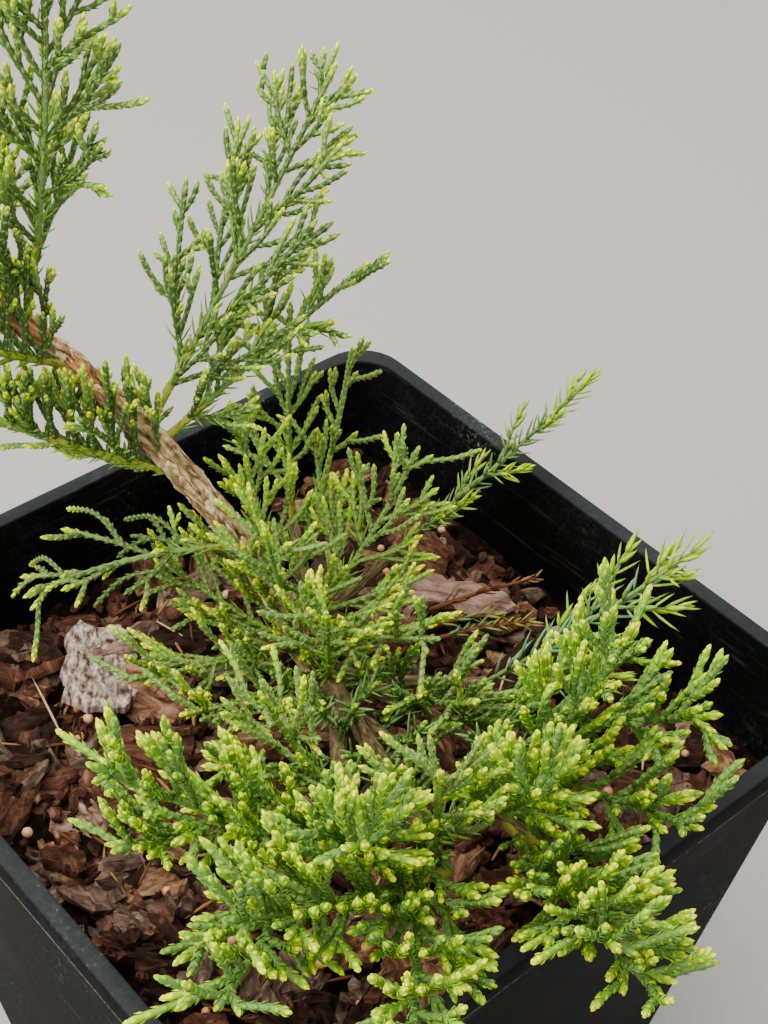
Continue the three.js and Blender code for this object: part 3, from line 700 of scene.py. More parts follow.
class Foliage:
    """Gathers the cord cores, scale leaves and needles of a group of sprays."""

    def __init__(self):
        self.cores = Heap()
        self.scales = {key: [] for key in ("at", "way", "out", "long", "rim", "tone")}
        self.needles = {key: [] for key in ("at", "way", "out", "long", "wide", "tone")}

    def add_scales(self, **rows):
        for key, value in rows.items():
            self.scales[key].append(value)

    def add_needle(self, **row):
        for key, value in row.items():
            self.needles[key].append(value)

    def scale_heap(self):
        """The scale leaves, each its template set out along its cord."""
        heap = Heap()
        row = {key: np.concatenate(value) for key, value in self.scales.items()}
        side = np.cross(row["way"], row["out"])
        t = SCALE_POINTS
        points = (row["at"][:, None]
                  + row["way"][:, None] * (t[:, 0][None] * row["long"][:, None])[:, :, None]
                  + row["out"][:, None] * (t[:, 1][None] * row["rim"])[:, :, None]
                  + side[:, None] * (t[:, 2][None] * row["rim"])[:, :, None])
        count = len(points)
        faces = SCALE_FACES[None] + (np.arange(count) * len(t))[:, None, None]
        heap.add(points, faces, np.repeat(row["tone"], len(SCALE_FACES)))
        return heap

    def needle_heap(self):
        """The needles and awl leaves: four-sided, widest low down, and bent a little back."""
        heap = Heap()
        row = {key: np.array(value) for key, value in self.needles.items()}
        way = row["way"]
        side = np.cross(way, row["out"])
        side /= np.linalg.norm(side, axis=1)[:, None]
        face = np.cross(side, way)
        rings = []
        for place, share in NEEDLE_RINGS:
            bend = NEEDLE_BEND * place * place
            centre = (row["at"] + way * (place * row["long"])[:, None]
                      - face * (bend * row["long"])[:, None])
            for a, b in ((1, 0), (0, 1), (-1, 0), (0, -1)):
                rings.append(centre + side * (a * share * row["wide"])[:, None]
                             + face * (b * NEEDLE_THICK * share * row["wide"])[:, None])
        tip = (row["at"] + way * row["long"][:, None]
               - face * (NEEDLE_BEND * row["long"])[:, None])
        points = np.stack((*rings, tip), 1)
        faces = list(tube_faces(len(NEEDLE_RINGS), 4)) + [(0, 2, 1), (0, 3, 2)]
        last = 4 * (len(NEEDLE_RINGS) - 1)
        faces += [(last + i, last + (i + 1) % 4, last + 4) for i in range(4)]
        faces = np.array(faces)
        count = len(points)
        heap.add(points, faces[None] + (np.arange(count) * points.shape[1])[:, None, None],
                 np.repeat(row["tone"], len(faces)))
        return heap


# Leaf colours from a cord's tip inwards, and last the colour between the oldest leaves; a cord's
# core takes the next darker colour, painted shade in the gaps between its leaves
FRESH = ("leaf_tip_yellow", "leaf_yellow_green", "leaf_fresh_green", "leaf_mid_green",
         "leaf_dark_green", "leaf_shaded_green")
DEEP = ("leaf_tip_yellow", "leaf_yellow_green", "leaf_clear_green", "leaf_deep_green",
        "leaf_deep_olive", "leaf_crevice_shade_green")
LIT = ("leaf_tip_yellow", "leaf_yellow_green", "leaf_clear_green", "leaf_mid_green",
       "leaf_deep_green", "leaf_deep_olive")
GREY = ("leaf_yellow_green", "leaf_pale_grey_green", "leaf_grey_green", "leaf_grey_green",
        "leaf_deep_green", "leaf_deep_olive")
DULL = ("leaf_tip_yellow", "leaf_yellow_green", "leaf_pale_grey_green", "leaf_grey_green",
        "leaf_deep_olive", "leaf_crevice_shade_green")
SHADED = ("leaf_yellow_green", "leaf_mid_green", "leaf_dark_green", "leaf_dark_green",
          "leaf_shaded_green", "leaf_crevice_shade_green")
OLIVE = ("young_bark_green",) * 2 + ("young_bark_olive",) * 3 + ("leaf_mid_green",)
# Depths from the tip, in millimetres, where the first four colours end
TONE_DEPTHS = (1.9, 3.5, 6.0, 10.5)
# Room that the finer foliage leaves over the medium and from the pot's inner wall
OVER_MEDIUM = 1.5
OFF_WALL = 4


def tone_of(from_tip, spread, palette, jitter, darker=0):
    """The colour slots at distances from a cord's tip: yellow, then greener with depth, and darker
    by a number of steps where shade is painted.
    """
    depth = from_tip / spread + jitter
    tones = np.array([TONES.index(name) for name in palette])
    return tones[np.searchsorted(TONE_DEPTHS, depth) + darker]


def in_wall(point):
    """Whether a point would lie in the pot's wall or in the medium."""
    x, y, z = point
    far = max(abs(x), abs(y))
    return (z < MEDIUM_TOP + OVER_MEDIUM
            or (z < POT_HEIGHT + 1 and far > RIM_HALF - RIM_BAND - OFF_WALL))


def hits_pot(line):
    """Whether a twig's line runs into the pot's wall or the medium past its root."""
    return any(in_wall(point) for point in line[1:])


def swell(depth, bud):
    """A cord's radius at depths from its tip, both in cord radii: a rounded point, then a bud."""
    return np.interp(depth, [0, 0.5, 1.2, 2.2, 3.8, 6.0, 10.0],
                     [0.1, 0.46, 0.77, 0.95, bud, 0.98, 0.88])


def add_cord(leaves, points, normal, radius, looks, key):
    """One cord: a core that swells to a bud, and pairs of scale leaves crosswise along it."""
    line, runs = smooth_line(points, looks["pitch"] * radius)
    length = runs[-1]
    if length < 3 * radius:
        return
    ways, across, up = frames(line, normal)
    jitter = 0.9 * (chance(*key, 31) - 0.5)
    spread = looks["spread"] * max(between(looks["vary"], chance(*key, 32)), 0.05)
    left = length - runs
    bud = looks["bud"]
    turn = math.pi * 0.5 * chance(*key, 33)
    flat = across * math.cos(turn) + up * math.sin(turn)
    tall = np.cross(ways, flat)
    keep = np.nonzero(left > 0.6 * radius)[0]
    long = np.minimum(radius * looks["scale"], left[keep] + 0.1 * radius)
    depth = np.maximum(left[keep][:, None] - SCALE_POINTS[:, 0] * long[:, None], 0) / radius
    rim = radius * swell(depth, bud)
    rim[:, -1] *= np.interp(depth[:, -1], (0.5, 3), (1.0, looks["free"]))
    for sign in (1, -1):
        out = np.where((keep % 2 == 0)[:, None], flat[keep], tall[keep]) * sign
        wobble = np.array([chance(*key, 40 + int(j), sign + 1) for j in keep])
        tone = tone_of(left[keep] - 0.5, spread, looks["tones"], jitter + 1.2 * (wobble - 0.5))
        leaves.add_scales(at=line[keep], way=ways[keep], out=out, long=long, tone=tone,
                          rim=rim * (0.96 + 0.1 * wobble)[:, None])
    near_tip = [k * radius for k in (2.8, 1.7, 0.9, 0.35) if k * radius < length]
    rings = np.concatenate((np.arange(length, 4 * radius, -2.6 * radius), near_tip, [0.0]))
    centre = np.stack([np.interp(length - rings, runs, line[:, k]) for k in range(3)], 1)
    sides = 5
    mesh, faces = tube(centre, normal, 0.82 * radius * swell(rings / radius, bud), sides)
    # the core is one colour darker than its leaves: painted shade in the gaps between them
    tones = tone_of(rings + 0.5, spread, looks["tones"], jitter, darker=1)
    leaves.cores.add(mesh, faces, tones[np.minimum(faces.min(1) // sides, len(rings) - 1)])


def bent(root, first, way, long, key, lift=0.1):
    """A cord's line that leaves by a first direction and bends forward, and up or down."""
    wave = np.array([chance(*key, 51) - 0.5, chance(*key, 52) - 0.5, chance(*key, 53) - 0.5])
    second = unit(mix(first, way, 0.3) + UP * lift + wave * 0.3)
    middle = root + first * long * 0.45
    return [root, middle, middle + second * long * 0.55]


def bowed(root, end, way, key):
    """A cord's line from root to end that bows outward from the shoot it grows on."""
    span = end - root
    long = math.sqrt(span @ span)
    off = span - way * (span @ way)
    wave = np.array([chance(*key, 54) - 0.5, chance(*key, 55) - 0.5, chance(*key, 56) - 0.5])
    return [root, mix(root, end, 0.5) + unit(off) * long * 0.06 + wave * long * 0.06, end]


# For each kind of spray, in millimetres, degrees and shares:
# radius, bud, pitch, scale, free: a cord's radius and how its bud swells, and its leaves'
# spacing and length in radii and how far their tips stand free
# spread, vary, tones: how deep the colours reach, how much that varies, and the colours
# awl, bare: share of shoots with awl leaves, and how far the spray's stem is bare
# fill, top, past, cords, angle, lift: the finer cords' spacing, highest place, length past the
# shoot's end, lengths, angles, and how they rise
# sub, stand: share of cords that branch again, and that stand up out of the fan
# shoots, plume, off, rise: spacing, lengths, angles and tilts of the shoots between the
# source's own
LOOKS = {
    "tall": {"radius": 0.69, "bud": 1.08, "pitch": 1.6, "scale": 2.25, "free": 1.16,
             "spread": 0.65, "vary": (0.3, 1.4), "tones": DEEP, "awl": 0.45, "bare": 0.14,
             "fill": 3.2, "top": 0.85, "past": 1.1, "cords": (7, 14), "angle": (24, 36),
             "lift": 0.15, "sub": 0.1, "stand": 0.25, "shoots": 4.3, "plume": (14, 27),
             "off": (32, 50), "rise": (10, 80)},
    "upper": {"radius": 0.67, "bud": 1.1, "pitch": 1.6, "scale": 2.25, "free": 1.16,
              "spread": 0.65, "vary": (0.3, 1.4), "tones": DEEP, "awl": 0.6, "bare": 0.14,
              "fill": 3.7, "top": 0.85, "past": 1.1, "cords": (7, 15), "angle": (22, 36),
              "lift": 0.15, "sub": 0.06, "stand": 0.12, "shoots": 6.0, "plume": (12, 22),
              "off": (32, 50), "rise": (10, 80)},
    "comb": {"radius": 0.66, "bud": 1.06, "pitch": 1.6, "scale": 2.25, "free": 1.18,
             "spread": 0.7, "vary": (0.2, 1.5), "tones": DEEP, "awl": 0.6, "bare": 0.6,
             "fill": 3.6, "top": 0.72, "past": 1.05, "cords": (5, 13), "angle": (20, 40),
             "lift": 0.2, "sub": 0.2, "stand": 0.25, "shoots": 1.05, "plume": (12, 31),
             "off": (42, 92), "rise": (20, 150)},
    "droop": {"radius": 0.64, "bud": 1.02, "pitch": 1.6, "scale": 2.2, "free": 1.16,
              "spread": 0.7, "vary": (0.0, 1.5), "tones": DULL, "awl": 0.05, "bare": 0.1,
              "fill": 5.5, "top": 0.9, "past": 1.8, "cords": (12, 24), "angle": (14, 46),
              "lift": -0.7, "sub": 0.02, "stand": 0.25, "shoots": 6.0, "plume": (18, 30),
              "off": (16, 48), "rise": (-80, 70)},
    "grey": {"radius": 0.68, "bud": 1.02, "pitch": 1.5, "scale": 2.1, "free": 1.1,
             "spread": 0.8, "vary": (0.2, 1.3), "tones": GREY, "awl": 0.1, "bare": 0.14,
             "fill": 4.6, "top": 0.85, "past": 1.3, "cords": (8, 17), "angle": (14, 26),
             "lift": 0.15, "sub": 0.06, "stand": 0.15, "shoots": 8.0, "plume": (10, 20),
             "off": (20, 34), "rise": (10, 80)},
    "centre": {"radius": 0.66, "bud": 1.08, "pitch": 1.6, "scale": 2.15, "free": 1.15,
               "spread": 0.82, "vary": (-0.3, 1.6), "tones": LIT, "awl": 0.35, "bare": 0.14,
               "fill": 4.6, "top": 0.8, "past": 1.25, "cords": (8, 17), "angle": (18, 30),
               "lift": 0.12, "sub": 0.05, "stand": 0.2, "shoots": 6.6, "plume": (14, 25),
               "off": (32, 54), "rise": (20, 90)},
    "bright": {"radius": 0.84, "bud": 1.04, "pitch": 1.5, "scale": 2.15, "free": 1.06,
               "spread": 0.72, "vary": (0.1, 1.5), "tones": FRESH, "awl": 0.12, "bare": 0.14,
               "fill": 3.8, "top": 0.66, "past": 1.05, "cords": (8, 16), "angle": (15, 25),
               "lift": 0.12, "sub": 0.02, "stand": 0.2, "shoots": 3.4, "plume": (17, 28),
               "off": (30, 52), "rise": (30, 100)},
}
LOOKS["near"] = {**LOOKS["bright"], "radius": 0.86, "shoots": 2.5, "plume": (18, 30)}
LOOKS["basal"] = {**LOOKS["centre"], "spread": 0.9, "vary": (0.0, 1.4), "cords": (5, 11)}

# Sprays that are joined into one piece, and the looks of groups that have none of their own
GROUPS = {
    "tall": ("tall",),
    "comb": ("left_stem", "leader_side"),
    "upper": ("upper", "upper_right", "leader", "leader_back"),
    "droop": ("droop",),
    "centre": ("centre_high", "centre_back", "centre_front", "left_low", "back_low", "mid_left",
               "mid_right", "centre_rise", "front_rise", "left_rise", "front_upright"),
    "grey": ("back_upright", "back_slim"),
    "right": ("right_fan", "right_fan_low", "right_fan_high"),
    "left_front": ("left_fan", "left_fan_low", "front_fan_left"),
    "near_front": ("front_fan", "front_near", "front_low"),
    "right_front": ("front_fan_right", "front_right_upright", "right_near"),
    "needle": ("right_needle", "back_needle"),
}
GROUP_LOOKS = {"right": "bright", "left_front": "bright", "near_front": "near",
               "right_front": "near", "needle": "bright"}

# Needle lengths, half width, spacing along the twig, and the colour of the older needles
NEEDLES = {"right_needle": ((5.2, 8.8), 0.62, 2.9, "needle_glaucous"),
           "back_needle": ((3.8, 5.6), 0.5, 2.1, "leaf_shaded_green")}
TWIGGY_BOUGHS = ("front", "front_left", "front_right", "right", "right_high", "back")
BASAL_TWIGS = 26


def side_cords(leaves, points, normal, full, looks, key, taken=(), start=0.12):
    """Fills a shoot with cords between the ones of the source, in turn left and right."""
    top = looks["top"]
    count = int(full * (top - start) / looks["fill"])
    for j in range(count):
        share = start + (top - start) * (j + 0.3 + 0.4 * chance(*key, j, 61)) / count
        side = 1 if j % 2 else -1
        if any(abs(share - s) * full < 1.5 and side == d for s, d in taken):
            continue
        point, way = along(points, share)
        tilt = 32 * (chance(*key, j, 62) - 0.5)
        if chance(*key, j, 67) < looks["stand"]:
            tilt = between((35, 80), chance(*key, j, 68))
        first = leave(way, normal, side, between(looks["angle"], chance(*key, j, 63)), tilt)
        long = between(looks["cords"], chance(*key, j, 64)) * (1.15 - 0.45 * share)
        long = min(long, max(full * (1.0 - share) * looks["past"], 3.4))
        line = bent(point, first, way, long, (*key, j), looks["lift"])
        if hits_pot(line):
            continue
        add_cord(leaves, line, normal, looks["radius"] * 0.96, looks, (*key, j, 65))
        sub_cords(leaves, line, normal, long, looks, (*key, j, 66))


def between_shoots(leaves, axis, length, reach, looks, key):
    """Grows shoots between the source's own, most of them standing up out of the fan."""
    count = int(length * 0.86 / looks["shoots"])
    for j in range(count):
        share = 0.1 + 0.84 * (j + 0.2 + 0.6 * chance(*key, j, 101)) / count
        point, way = along(axis, share)
        normal = fan_normal(way, 0)
        side = 1 if j % 2 else -1
        tilt = between(looks["rise"], chance(*key, j, 102))
        if chance(*key, j, 103) < 0.2:
            tilt = -tilt * 0.4
        first = leave(way, normal, side, between(looks["off"], chance(*key, j, 104)), tilt)
        long = between(looks["plume"], chance(*key, j, 105)) * (1.15 - 0.6 * share)
        long = min(long, (1.0 + looks["lift"]) * reach[side > 0])
        line = bent(point, first, unit(way * 0.5 + UP), long, (*key, j), looks["lift"])
        if hits_pot(line):
            continue
        add_cord(leaves, line, normal, looks["radius"], looks, (*key, j, 106))
        side_cords(leaves, line, normal, long, looks, (*key, j, 107), start=0.2)


def sub_cords(leaves, points, normal, full, looks, key):
    """Short cords on a longer cord."""
    if full < 6.5:
        return
    count = int(full / 2.6)
    for j in range(count):
        if chance(*key, j, 71) > looks["sub"]:
            continue
        point, way = along(points, 0.2 + 0.6 * (j + 0.5) / count)
        side = 1 if j % 2 else -1
        tilt = 90 * (chance(*key, j, 72) - 0.5)
        first = leave(way, normal, side, between((32, 44), chance(*key, j, 73)), tilt)
        long = between((3.2, 5.8), chance(*key, j, 74))
        line = bent(point, first, way, long, (*key, j, 75))
        if not in_wall(line[2]):
            add_cord(leaves, line, normal, looks["radius"] * 0.92, looks, (*key, j, 76))


def awl_leaves(leaves, points, normal, ends, key, tone="leaf_dark_green", length=(2.8, 5.4)):
    """Awl-shaped leaves in crosswise pairs, a few of them lost, between two shares of a shoot."""
    line, runs = smooth_line(points, 1.7)
    ways, across, up = frames(line, normal)
    for j in range(1, len(line)):
        if not ends[0] <= runs[j] / runs[-1] <= ends[1]:
            continue
        pair = across[j] if j % 2 else up[j]
        for sign in (1, -1):
            if chance(*key, j, 80, sign + 1) < 0.14:
                continue
            turned = math.radians(70 * (chance(*key, j, 83, sign + 1) - 0.5))
            out = sign * (pair * math.cos(turned) + np.cross(ways[j], pair) * math.sin(turned))
            lean = math.radians(between((22, 54), chance(*key, j, 81, sign + 1)))
            long = between(length, chance(*key, j, 82, sign + 1))
            way = ways[j] * math.cos(lean) + out * math.sin(lean)
            if not in_wall(line[j] + way * long):
                leaves.add_needle(at=line[j] + out * 0.3, way=way, out=out, long=long, wide=0.4,
                                  tone=TONES.index(tone))


def needle_shoot(leaves, points, normal, key, kind, size, radius):
    """A shoot of needles: a thin green stem with needles in threes that close towards its tip."""
    length, wide, pitch, old = kind
    length = [size * end for end in length]
    line, runs = smooth_line(points, pitch)
    ways, across, up = frames(line, normal)
    full = runs[-1]
    for j in range(1, len(line)):
        left = full - runs[j]
        for arm in range(3):
            angle = 2 * math.pi * arm / 3 + (math.pi / 3 if j % 2 else 0)
            angle += 0.5 * (chance(*key, j, arm, 91) - 0.5)
            out = across[j] * math.cos(angle) + up[j] * math.sin(angle)
            lean = between((34, 54), chance(*key, j, arm, 92)) * min(1, 0.35 + left / 9)
            lean = math.radians(lean)
            long = between(length, chance(*key, j, arm, 93))
            long *= np.interp(left, (0, 4, 12), (0.8, 1.15, 1))
            way = ways[j] * math.cos(lean) + out * math.sin(lean)
            if in_wall(line[j] + way * long):
                continue
            draw = chance(*key, j, arm, 94)
            tone = old if draw < 0.7 else "leaf_deep_olive"
            if left < 13:
                tone = "leaf_deep_green" if draw < 0.6 else "leaf_mid_green"
            if left < 6:
                tone = "leaf_clear_green" if draw < 0.5 else "leaf_fresh_green"
            leaves.add_needle(at=line[j] + out * radius * 0.5, way=way, out=out, long=long,
                              wide=wide, tone=TONES.index(tone))
    thick = radius * np.interp(full - runs, [0, 2, 10], [0.4, 0.8, 1.0])
    mesh, faces = tube(line, normal, thick, 6)
    leaves.cores.add(mesh, faces, TONES.index("leaf_deep_olive"))


def basal_twigs(leaves, line, count, seed):
    """Short twigs round the foot of the stem, on its near side, which hide it."""
    looks = LOOKS["basal"]
    for j in range(count):
        share = 0.03 + 0.97 * (j + chance(seed, j, 121)) / count
        point, way = along(line, share)
        normal = fan_normal(way, 0)
        heading = between((-235, -45), chance(seed, j, 122))
        first = direction(heading, between((12, 62), chance(seed, j, 123)))
        long = between((12, 24), chance(seed, j, 124))
        twig = bent(point, first, unit(first + UP), long, (seed, j), 0.2)
        if hits_pot(twig):
            continue
        add_cord(leaves, twig, normal, 0.7, looks, (seed, j, 125))
        side_cords(leaves, twig, normal, long, looks, (seed, j, 126), start=0.2)


def bough_twigs(leaves, line, radii, seed):
    """Short shaded twigs with awl leaves along a bough, which hide much of its bark."""
    looks = {**LOOKS["centre"], "tones": SHADED, "cords": (4, 8), "spread": 0.5}
    points, runs = smooth_line(line, 1.0)
    full = runs[-1]
    count = int(full / 5.4)
    for j in range(count):
        share = (j + 0.3 + 0.5 * chance(seed, j, 111)) / count
        point, way = along(list(points), share)
        normal = fan_normal(way, 0)
        side = 1 if j % 2 else -1
        tilt = between((15, 85), chance(seed, j, 112))
        first = leave(way, normal, side, between((42, 78), chance(seed, j, 113)), tilt)
        root = point + first * between(radii, share) * 0.5
        long = between((9, 19), chance(seed, j, 114))
        twig = bent(root, first, unit(way + UP * 0.7), long, (seed, j))
        if hits_pot(twig):
            continue
        add_cord(leaves, twig, normal, 0.68, looks, (seed, j, 115))
        if chance(seed, j, 116) < 0.6:
            awl_leaves(leaves, twig, normal, (0.0, 0.8), (seed, j, 117), "leaf_shaded_green",
                       (3.0, 6.0))
        else:
            side_cords(leaves, twig, normal, long, looks, (seed, j, 118), start=0.2)


def grow_foliage(leaves, sprays, names, looks):
    """Dresses the sprays of one group with cords, scale leaves, awl leaves and needles."""
    for name in names:
        spray = sprays[name]
        seed, axis, length = spray["seed"], spray["axis"], spray["length"]
        normal = fan_normal(unit(axis[2] - axis[1]), spray["roll"])
        if spray["kind"] == "needle":
            needle_shoot(leaves, axis, normal, (seed, 1), NEEDLES[name], 1.0, 0.46)
            for shoot in spray["shoots"]:
                key = (seed, 2, shoot["index"])
                needle_shoot(leaves, shoot["points"], shoot["normal"], key, NEEDLES[name], 0.8, 0.36)
            continue
        # the spray's own stem: young olive bark near its foot, then scale leaves to its tip
        radius, bare = looks["radius"], looks["bare"]
        line, runs = smooth_line(axis, 2.0)
        thick = radius * np.interp(runs, [0, 6, 0.7 * length, length], [1.5, 1.05, 0.7, 0.1])
        sides = 7
        mesh, faces = tube(line, normal, thick, sides)
        ring = np.minimum(faces.min(1) // sides, len(runs) - 1)
        tone = np.where(runs[ring] < bare * length, TONES.index("young_bark_olive"),
                        TONES.index(looks["tones"][-2]))
        leaves.cores.add(mesh, faces, tone)
        lower = [along(axis, (bare + 0.12) * k / 4)[0] for k in range(5)]
        pressed = {**looks, "tones": OLIVE, "pitch": 2.0, "scale": 3.0, "free": 1.0}
        add_cord(leaves, lower, normal, radius * 1.4, pressed, (seed, 14))
        upper = [along(axis, bare + (1 - bare) * k / 6)[0] for k in range(7)]
        add_cord(leaves, upper, normal, radius * 1.14, looks, (seed, 3))
        awl_leaves(leaves, axis, normal, (0.08, 0.3 + 0.5 * looks["awl"]), (seed, 4))
        between_shoots(leaves, axis, length, spray["reach"], looks, (seed, 5))
        for shoot in spray["shoots"]:
            key = (seed, 6, shoot["index"])
            full, points = shoot["full"], shoot["points"]
            taken = [(share, side) for share, side, _ in shoot["cords"]]
            add_cord(leaves, points, shoot["normal"], radius * 1.04, looks, (*key, 7))
            if chance(*key, 8) < looks["awl"]:
                awl_leaves(leaves, points, shoot["normal"], (0.0, 0.45), (*key, 9))
            for j, (share, side, (root, end)) in enumerate(shoot["cords"]):
                way = along(points, share)[1]
                line = bowed(root, end, way, (*key, 10, j))
                span = end - root
                add_cord(leaves, line, shoot["normal"], radius, looks, (*key, 11, j))
                sub_cords(leaves, line, shoot["normal"], math.sqrt(span @ span), looks,
                          (*key, 12, j))
            side_cords(leaves, points, shoot["normal"], full, looks, (*key, 13), taken)


# Stem and boughs

BARK_NORMAL = np.array((0.31, 0.17, 0.93))
# Bark plates round a limb, their length, and the length of their relief's coarse and fine grain
PLATE_COLUMNS = 7
PLATE_LONG = 7.5
COARSE_LONG = 1.9
FINE_LONG = 0.7
# A lifted flake's length, width, lift and curl, and its thickness
FLAKE_LONG = (2.0, 6.0)
FLAKE_WIDE = (0.8, 2.4)
FLAKE_LIFT = (0.1, 0.62)
FLAKE_CURL = (-0.1, 0.3)
FLAKE_THICK = 0.16
STEM_FLAKES = 150
# Share of the stem's length past which its bark peels red
RED_FROM = 0.78


def bark_tube(heap, points, radii, sides, seed, knots=(), flare=0.0, red_from=2.0):
    """A limb with flaking bark: plates that lift, and a swelling where each spray leaves it."""
    line, runs = smooth_line(points, 0.42)
    full = runs[-1]
    turns = np.linspace(0, 1, sides, endpoint=False)[None]
    s = runs[:, None]
    radius = between(radii, s / full) + flare * np.exp(-s / 4.0)
    for share in knots:
        radius = radius + 0.35 * np.exp(-((s - share * full) / 2.2) ** 2)
    # plates of bark that wander as they climb, each lifting towards its upper end
    cells = PLATE_COLUMNS
    bend = lattice_noise(turns * cells, s / 2.5, seed + 2, cells) - 0.5
    column = turns * cells + 1.3 * bend + 0.4 * np.sin(s / 4.1)
    lane = np.floor(column).astype(int) % cells
    table = np.random.default_rng(seed).random((cells, 64))
    climb = s / PLATE_LONG + 7 * table[lane, 0] + 2.2 * bend
    plate = np.floor(climb).astype(int) % 63 + 1
    lift = table[lane, plate] * (climb - np.floor(climb)) ** 1.5
    edge = np.abs(column - np.floor(column) - 0.5) * 2
    groove = np.clip((edge - 0.72) / 0.28, 0, 1)
    fine = lattice_noise(turns * 4 * cells, s / FINE_LONG, seed + 3, 4 * cells)
    rough = lattice_noise(turns * 9, s / COARSE_LONG, seed + 6, 9)
    relief = 0.26 * lift - 0.26 * groove + 0.14 * (fine - 0.5) + 0.5 * (rough - 0.5) - 0.04
    relief = radius + relief * np.minimum(1.0, radius / 3.2)
    mesh, faces = tube(line, BARK_NORMAL, relief, sides)
    uvs = np.stack((np.broadcast_to(turns * 2.0, relief.shape).ravel(),
                    np.broadcast_to(s / 10.0, relief.shape).ravel()), 1)
    uvs = np.vstack((uvs, (0, 0), (0, full / 10)))
    patches = lattice_noise(turns * 3, s / 7, seed + 4, 3) - 0.5
    red = (s / full + 0.3 * patches > red_from).ravel()
    heap.add(mesh, faces, red[np.minimum(faces.min(1), red.size - 1)].astype(int), uvs)


def bark_flakes(heap, points, radii, count, seed):
    """Thin flakes of bark that lift from a limb at one end, up or down it."""
    rng = np.random.default_rng(seed)
    line, _ = smooth_line(points, 1.0)
    ways, across, up = frames(line, BARK_NORMAL)
    rows, lanes = 5, 4
    along_it, over_it = np.meshgrid(np.linspace(-0.5, 0.5, rows), np.linspace(-0.5, 0.5, lanes),
                                    indexing="ij")
    for _ in range(count):
        share = 0.04 + 0.94 * rng.random() ** 1.2
        k = min(int(share * (len(line) - 1)), len(line) - 2)
        angle = rng.uniform(0, 2 * math.pi)
        out = across[k] * math.cos(angle) + up[k] * math.sin(angle)
        slant = math.radians(rng.normal(0, 11))
        side = np.cross(out, ways[k])
        way = (ways[k] * math.cos(slant) + side * math.sin(slant)) * rng.choice((1, 1, -1))
        side = np.cross(out, way)
        radius = between(radii, share)
        long = rng.uniform(*FLAKE_LONG) * (0.8 + 0.6 * share)
        wide = rng.uniform(*FLAKE_WIDE)
        lift = rng.uniform(*FLAKE_LIFT)
        curl = rng.uniform(*FLAKE_CURL)
        end_share = rng.uniform(0.2, 0.8)
        taper = np.interp(along_it, (-0.5, -0.1, 0.25, 0.5), (0.7, 1.0, 0.9, end_share))
        u = long * (along_it + 0.08 * rng.normal(size=along_it.shape))
        v = wide * over_it * taper * rng.uniform(0.85, 1.15, along_it.shape)
        high = (radius - 0.12 + lift * np.clip(along_it + 0.3, 0, 1) ** 1.6 / 0.7
                + curl * (2 * over_it) ** 2 * np.clip(along_it + 0.5, 0, 1)
                - v * v / (2 * radius))
        sheets = []
        for depth in (0.0, -FLAKE_THICK):
            flat = (line[k] + way * u[..., None] + side * v[..., None]
                    + out * (high + depth)[..., None])
            sheets.append(flat.reshape(-1, 3))
        grid = np.arange(rows * lanes).reshape(rows, lanes)
        a, b, c, d = (grid[:-1, :-1].ravel(), grid[1:, :-1].ravel(), grid[1:, 1:].ravel(),
                      grid[:-1, 1:].ravel())
        top = np.concatenate((np.stack((a, b, c), 1), np.stack((a, c, d), 1)))
        rim = np.concatenate((grid[0, :], grid[1:, -1], grid[-1, -2::-1], grid[-2:0:-1, 0]))
        after = np.roll(rim, -1)
        n = rows * lanes
        edge = np.concatenate((np.stack((rim, after, after + n), 1),
                               np.stack((rim, after + n, rim + n), 1)))
        uv = np.stack((v.ravel() / 10, u.ravel() / 10), 1) + rng.uniform(0, 40, 2)
        slot = int(rng.choice(3, p=(0.65, 0.0, 0.35) if share < 0.72 else (0.15, 0.7, 0.15)))
        heap.add(np.vstack(sheets), np.concatenate((top, top[:, ::-1] + n, edge)), slot,
                 np.vstack((uv, uv)))


# Pot and mulch

# The bed's corner radius, the sizes and heights of its bumps, and its cells along a side
BED_CORNER = 9.0
BED_BUMPS = ((16, 2.2), (5, 1.6), (1.8, 1.1))
BED_CELLS = 150
# Lengths and thicknesses of chips and crumbs, their widths in shares of their lengths, the
# share of the pile above which most are crumbs, and how high the pile rises
CHIP_LONG = (7, 15)
CHIP_THICK = (1.6, 3.2)
CRUMB_LONG = (2.5, 6.5)
CRUMB_THICK = (0.8, 1.7)
CHIP_SHAPE = (0.4, 0.85)
CRUMBS_ABOVE = 0.3
PILE = 5.2
# How often chips and crumbs have each of the first five tones
CHIP_SHARES = (0.4, 0.2, 0.22, 0.09, 0.09)
CRUMB_SHARES = (0.34, 0.44, 0.14, 0.05, 0.03)
# The rings of a chip from its underside to its top: share of its outline, height, unevenness
CHIP_RINGS = ((0.86, -0.5, 0.1), (1.0, -0.05, 0.2), (0.92, 0.36, 0.22), (0.68, 0.42, 0.34),
              (0.36, 0.45, 0.36))
# Large chips: outline, middle and its height over the medium, turn about the upright,
# thickness, seed and slot. The pitted grey one lies by the left wall, the pink one by the back
LARGE_CHIPS = ((GREY_CHIP, (-25.7, 42.2, 4.0), 54, 3.4, "grey_chip", 5),
               (PINK_CHIP, (48.0, 12.0, 3.4), -52, 2.4, "pink_chip", 6))
LARGE_LEAN = 8
# The rings of a large chip in shares of its outline, its pits' lengths, widths, seeds and
# shares of the relief, and the relief's depth
SLAB_RINGS = (0.9, 1.0, 0.97, 0.9, 0.8, 0.7, 0.6, 0.5, 0.4, 0.3, 0.2, 0.1)
PITS = ((2.6, 1.7, 0, 0.45), (1.1, 0.8, 1, 0.3), (0.55, 0.5, 3, 0.25))
PIT_DEPTH = 1.3
PRILL_RADIUS = (0.75, 1.15)
PRILL_TONES = (("prill_tan", "#b98a5c"), ("prill_orange", "#c9864a"), ("prill_cream", "#bd9c70"))
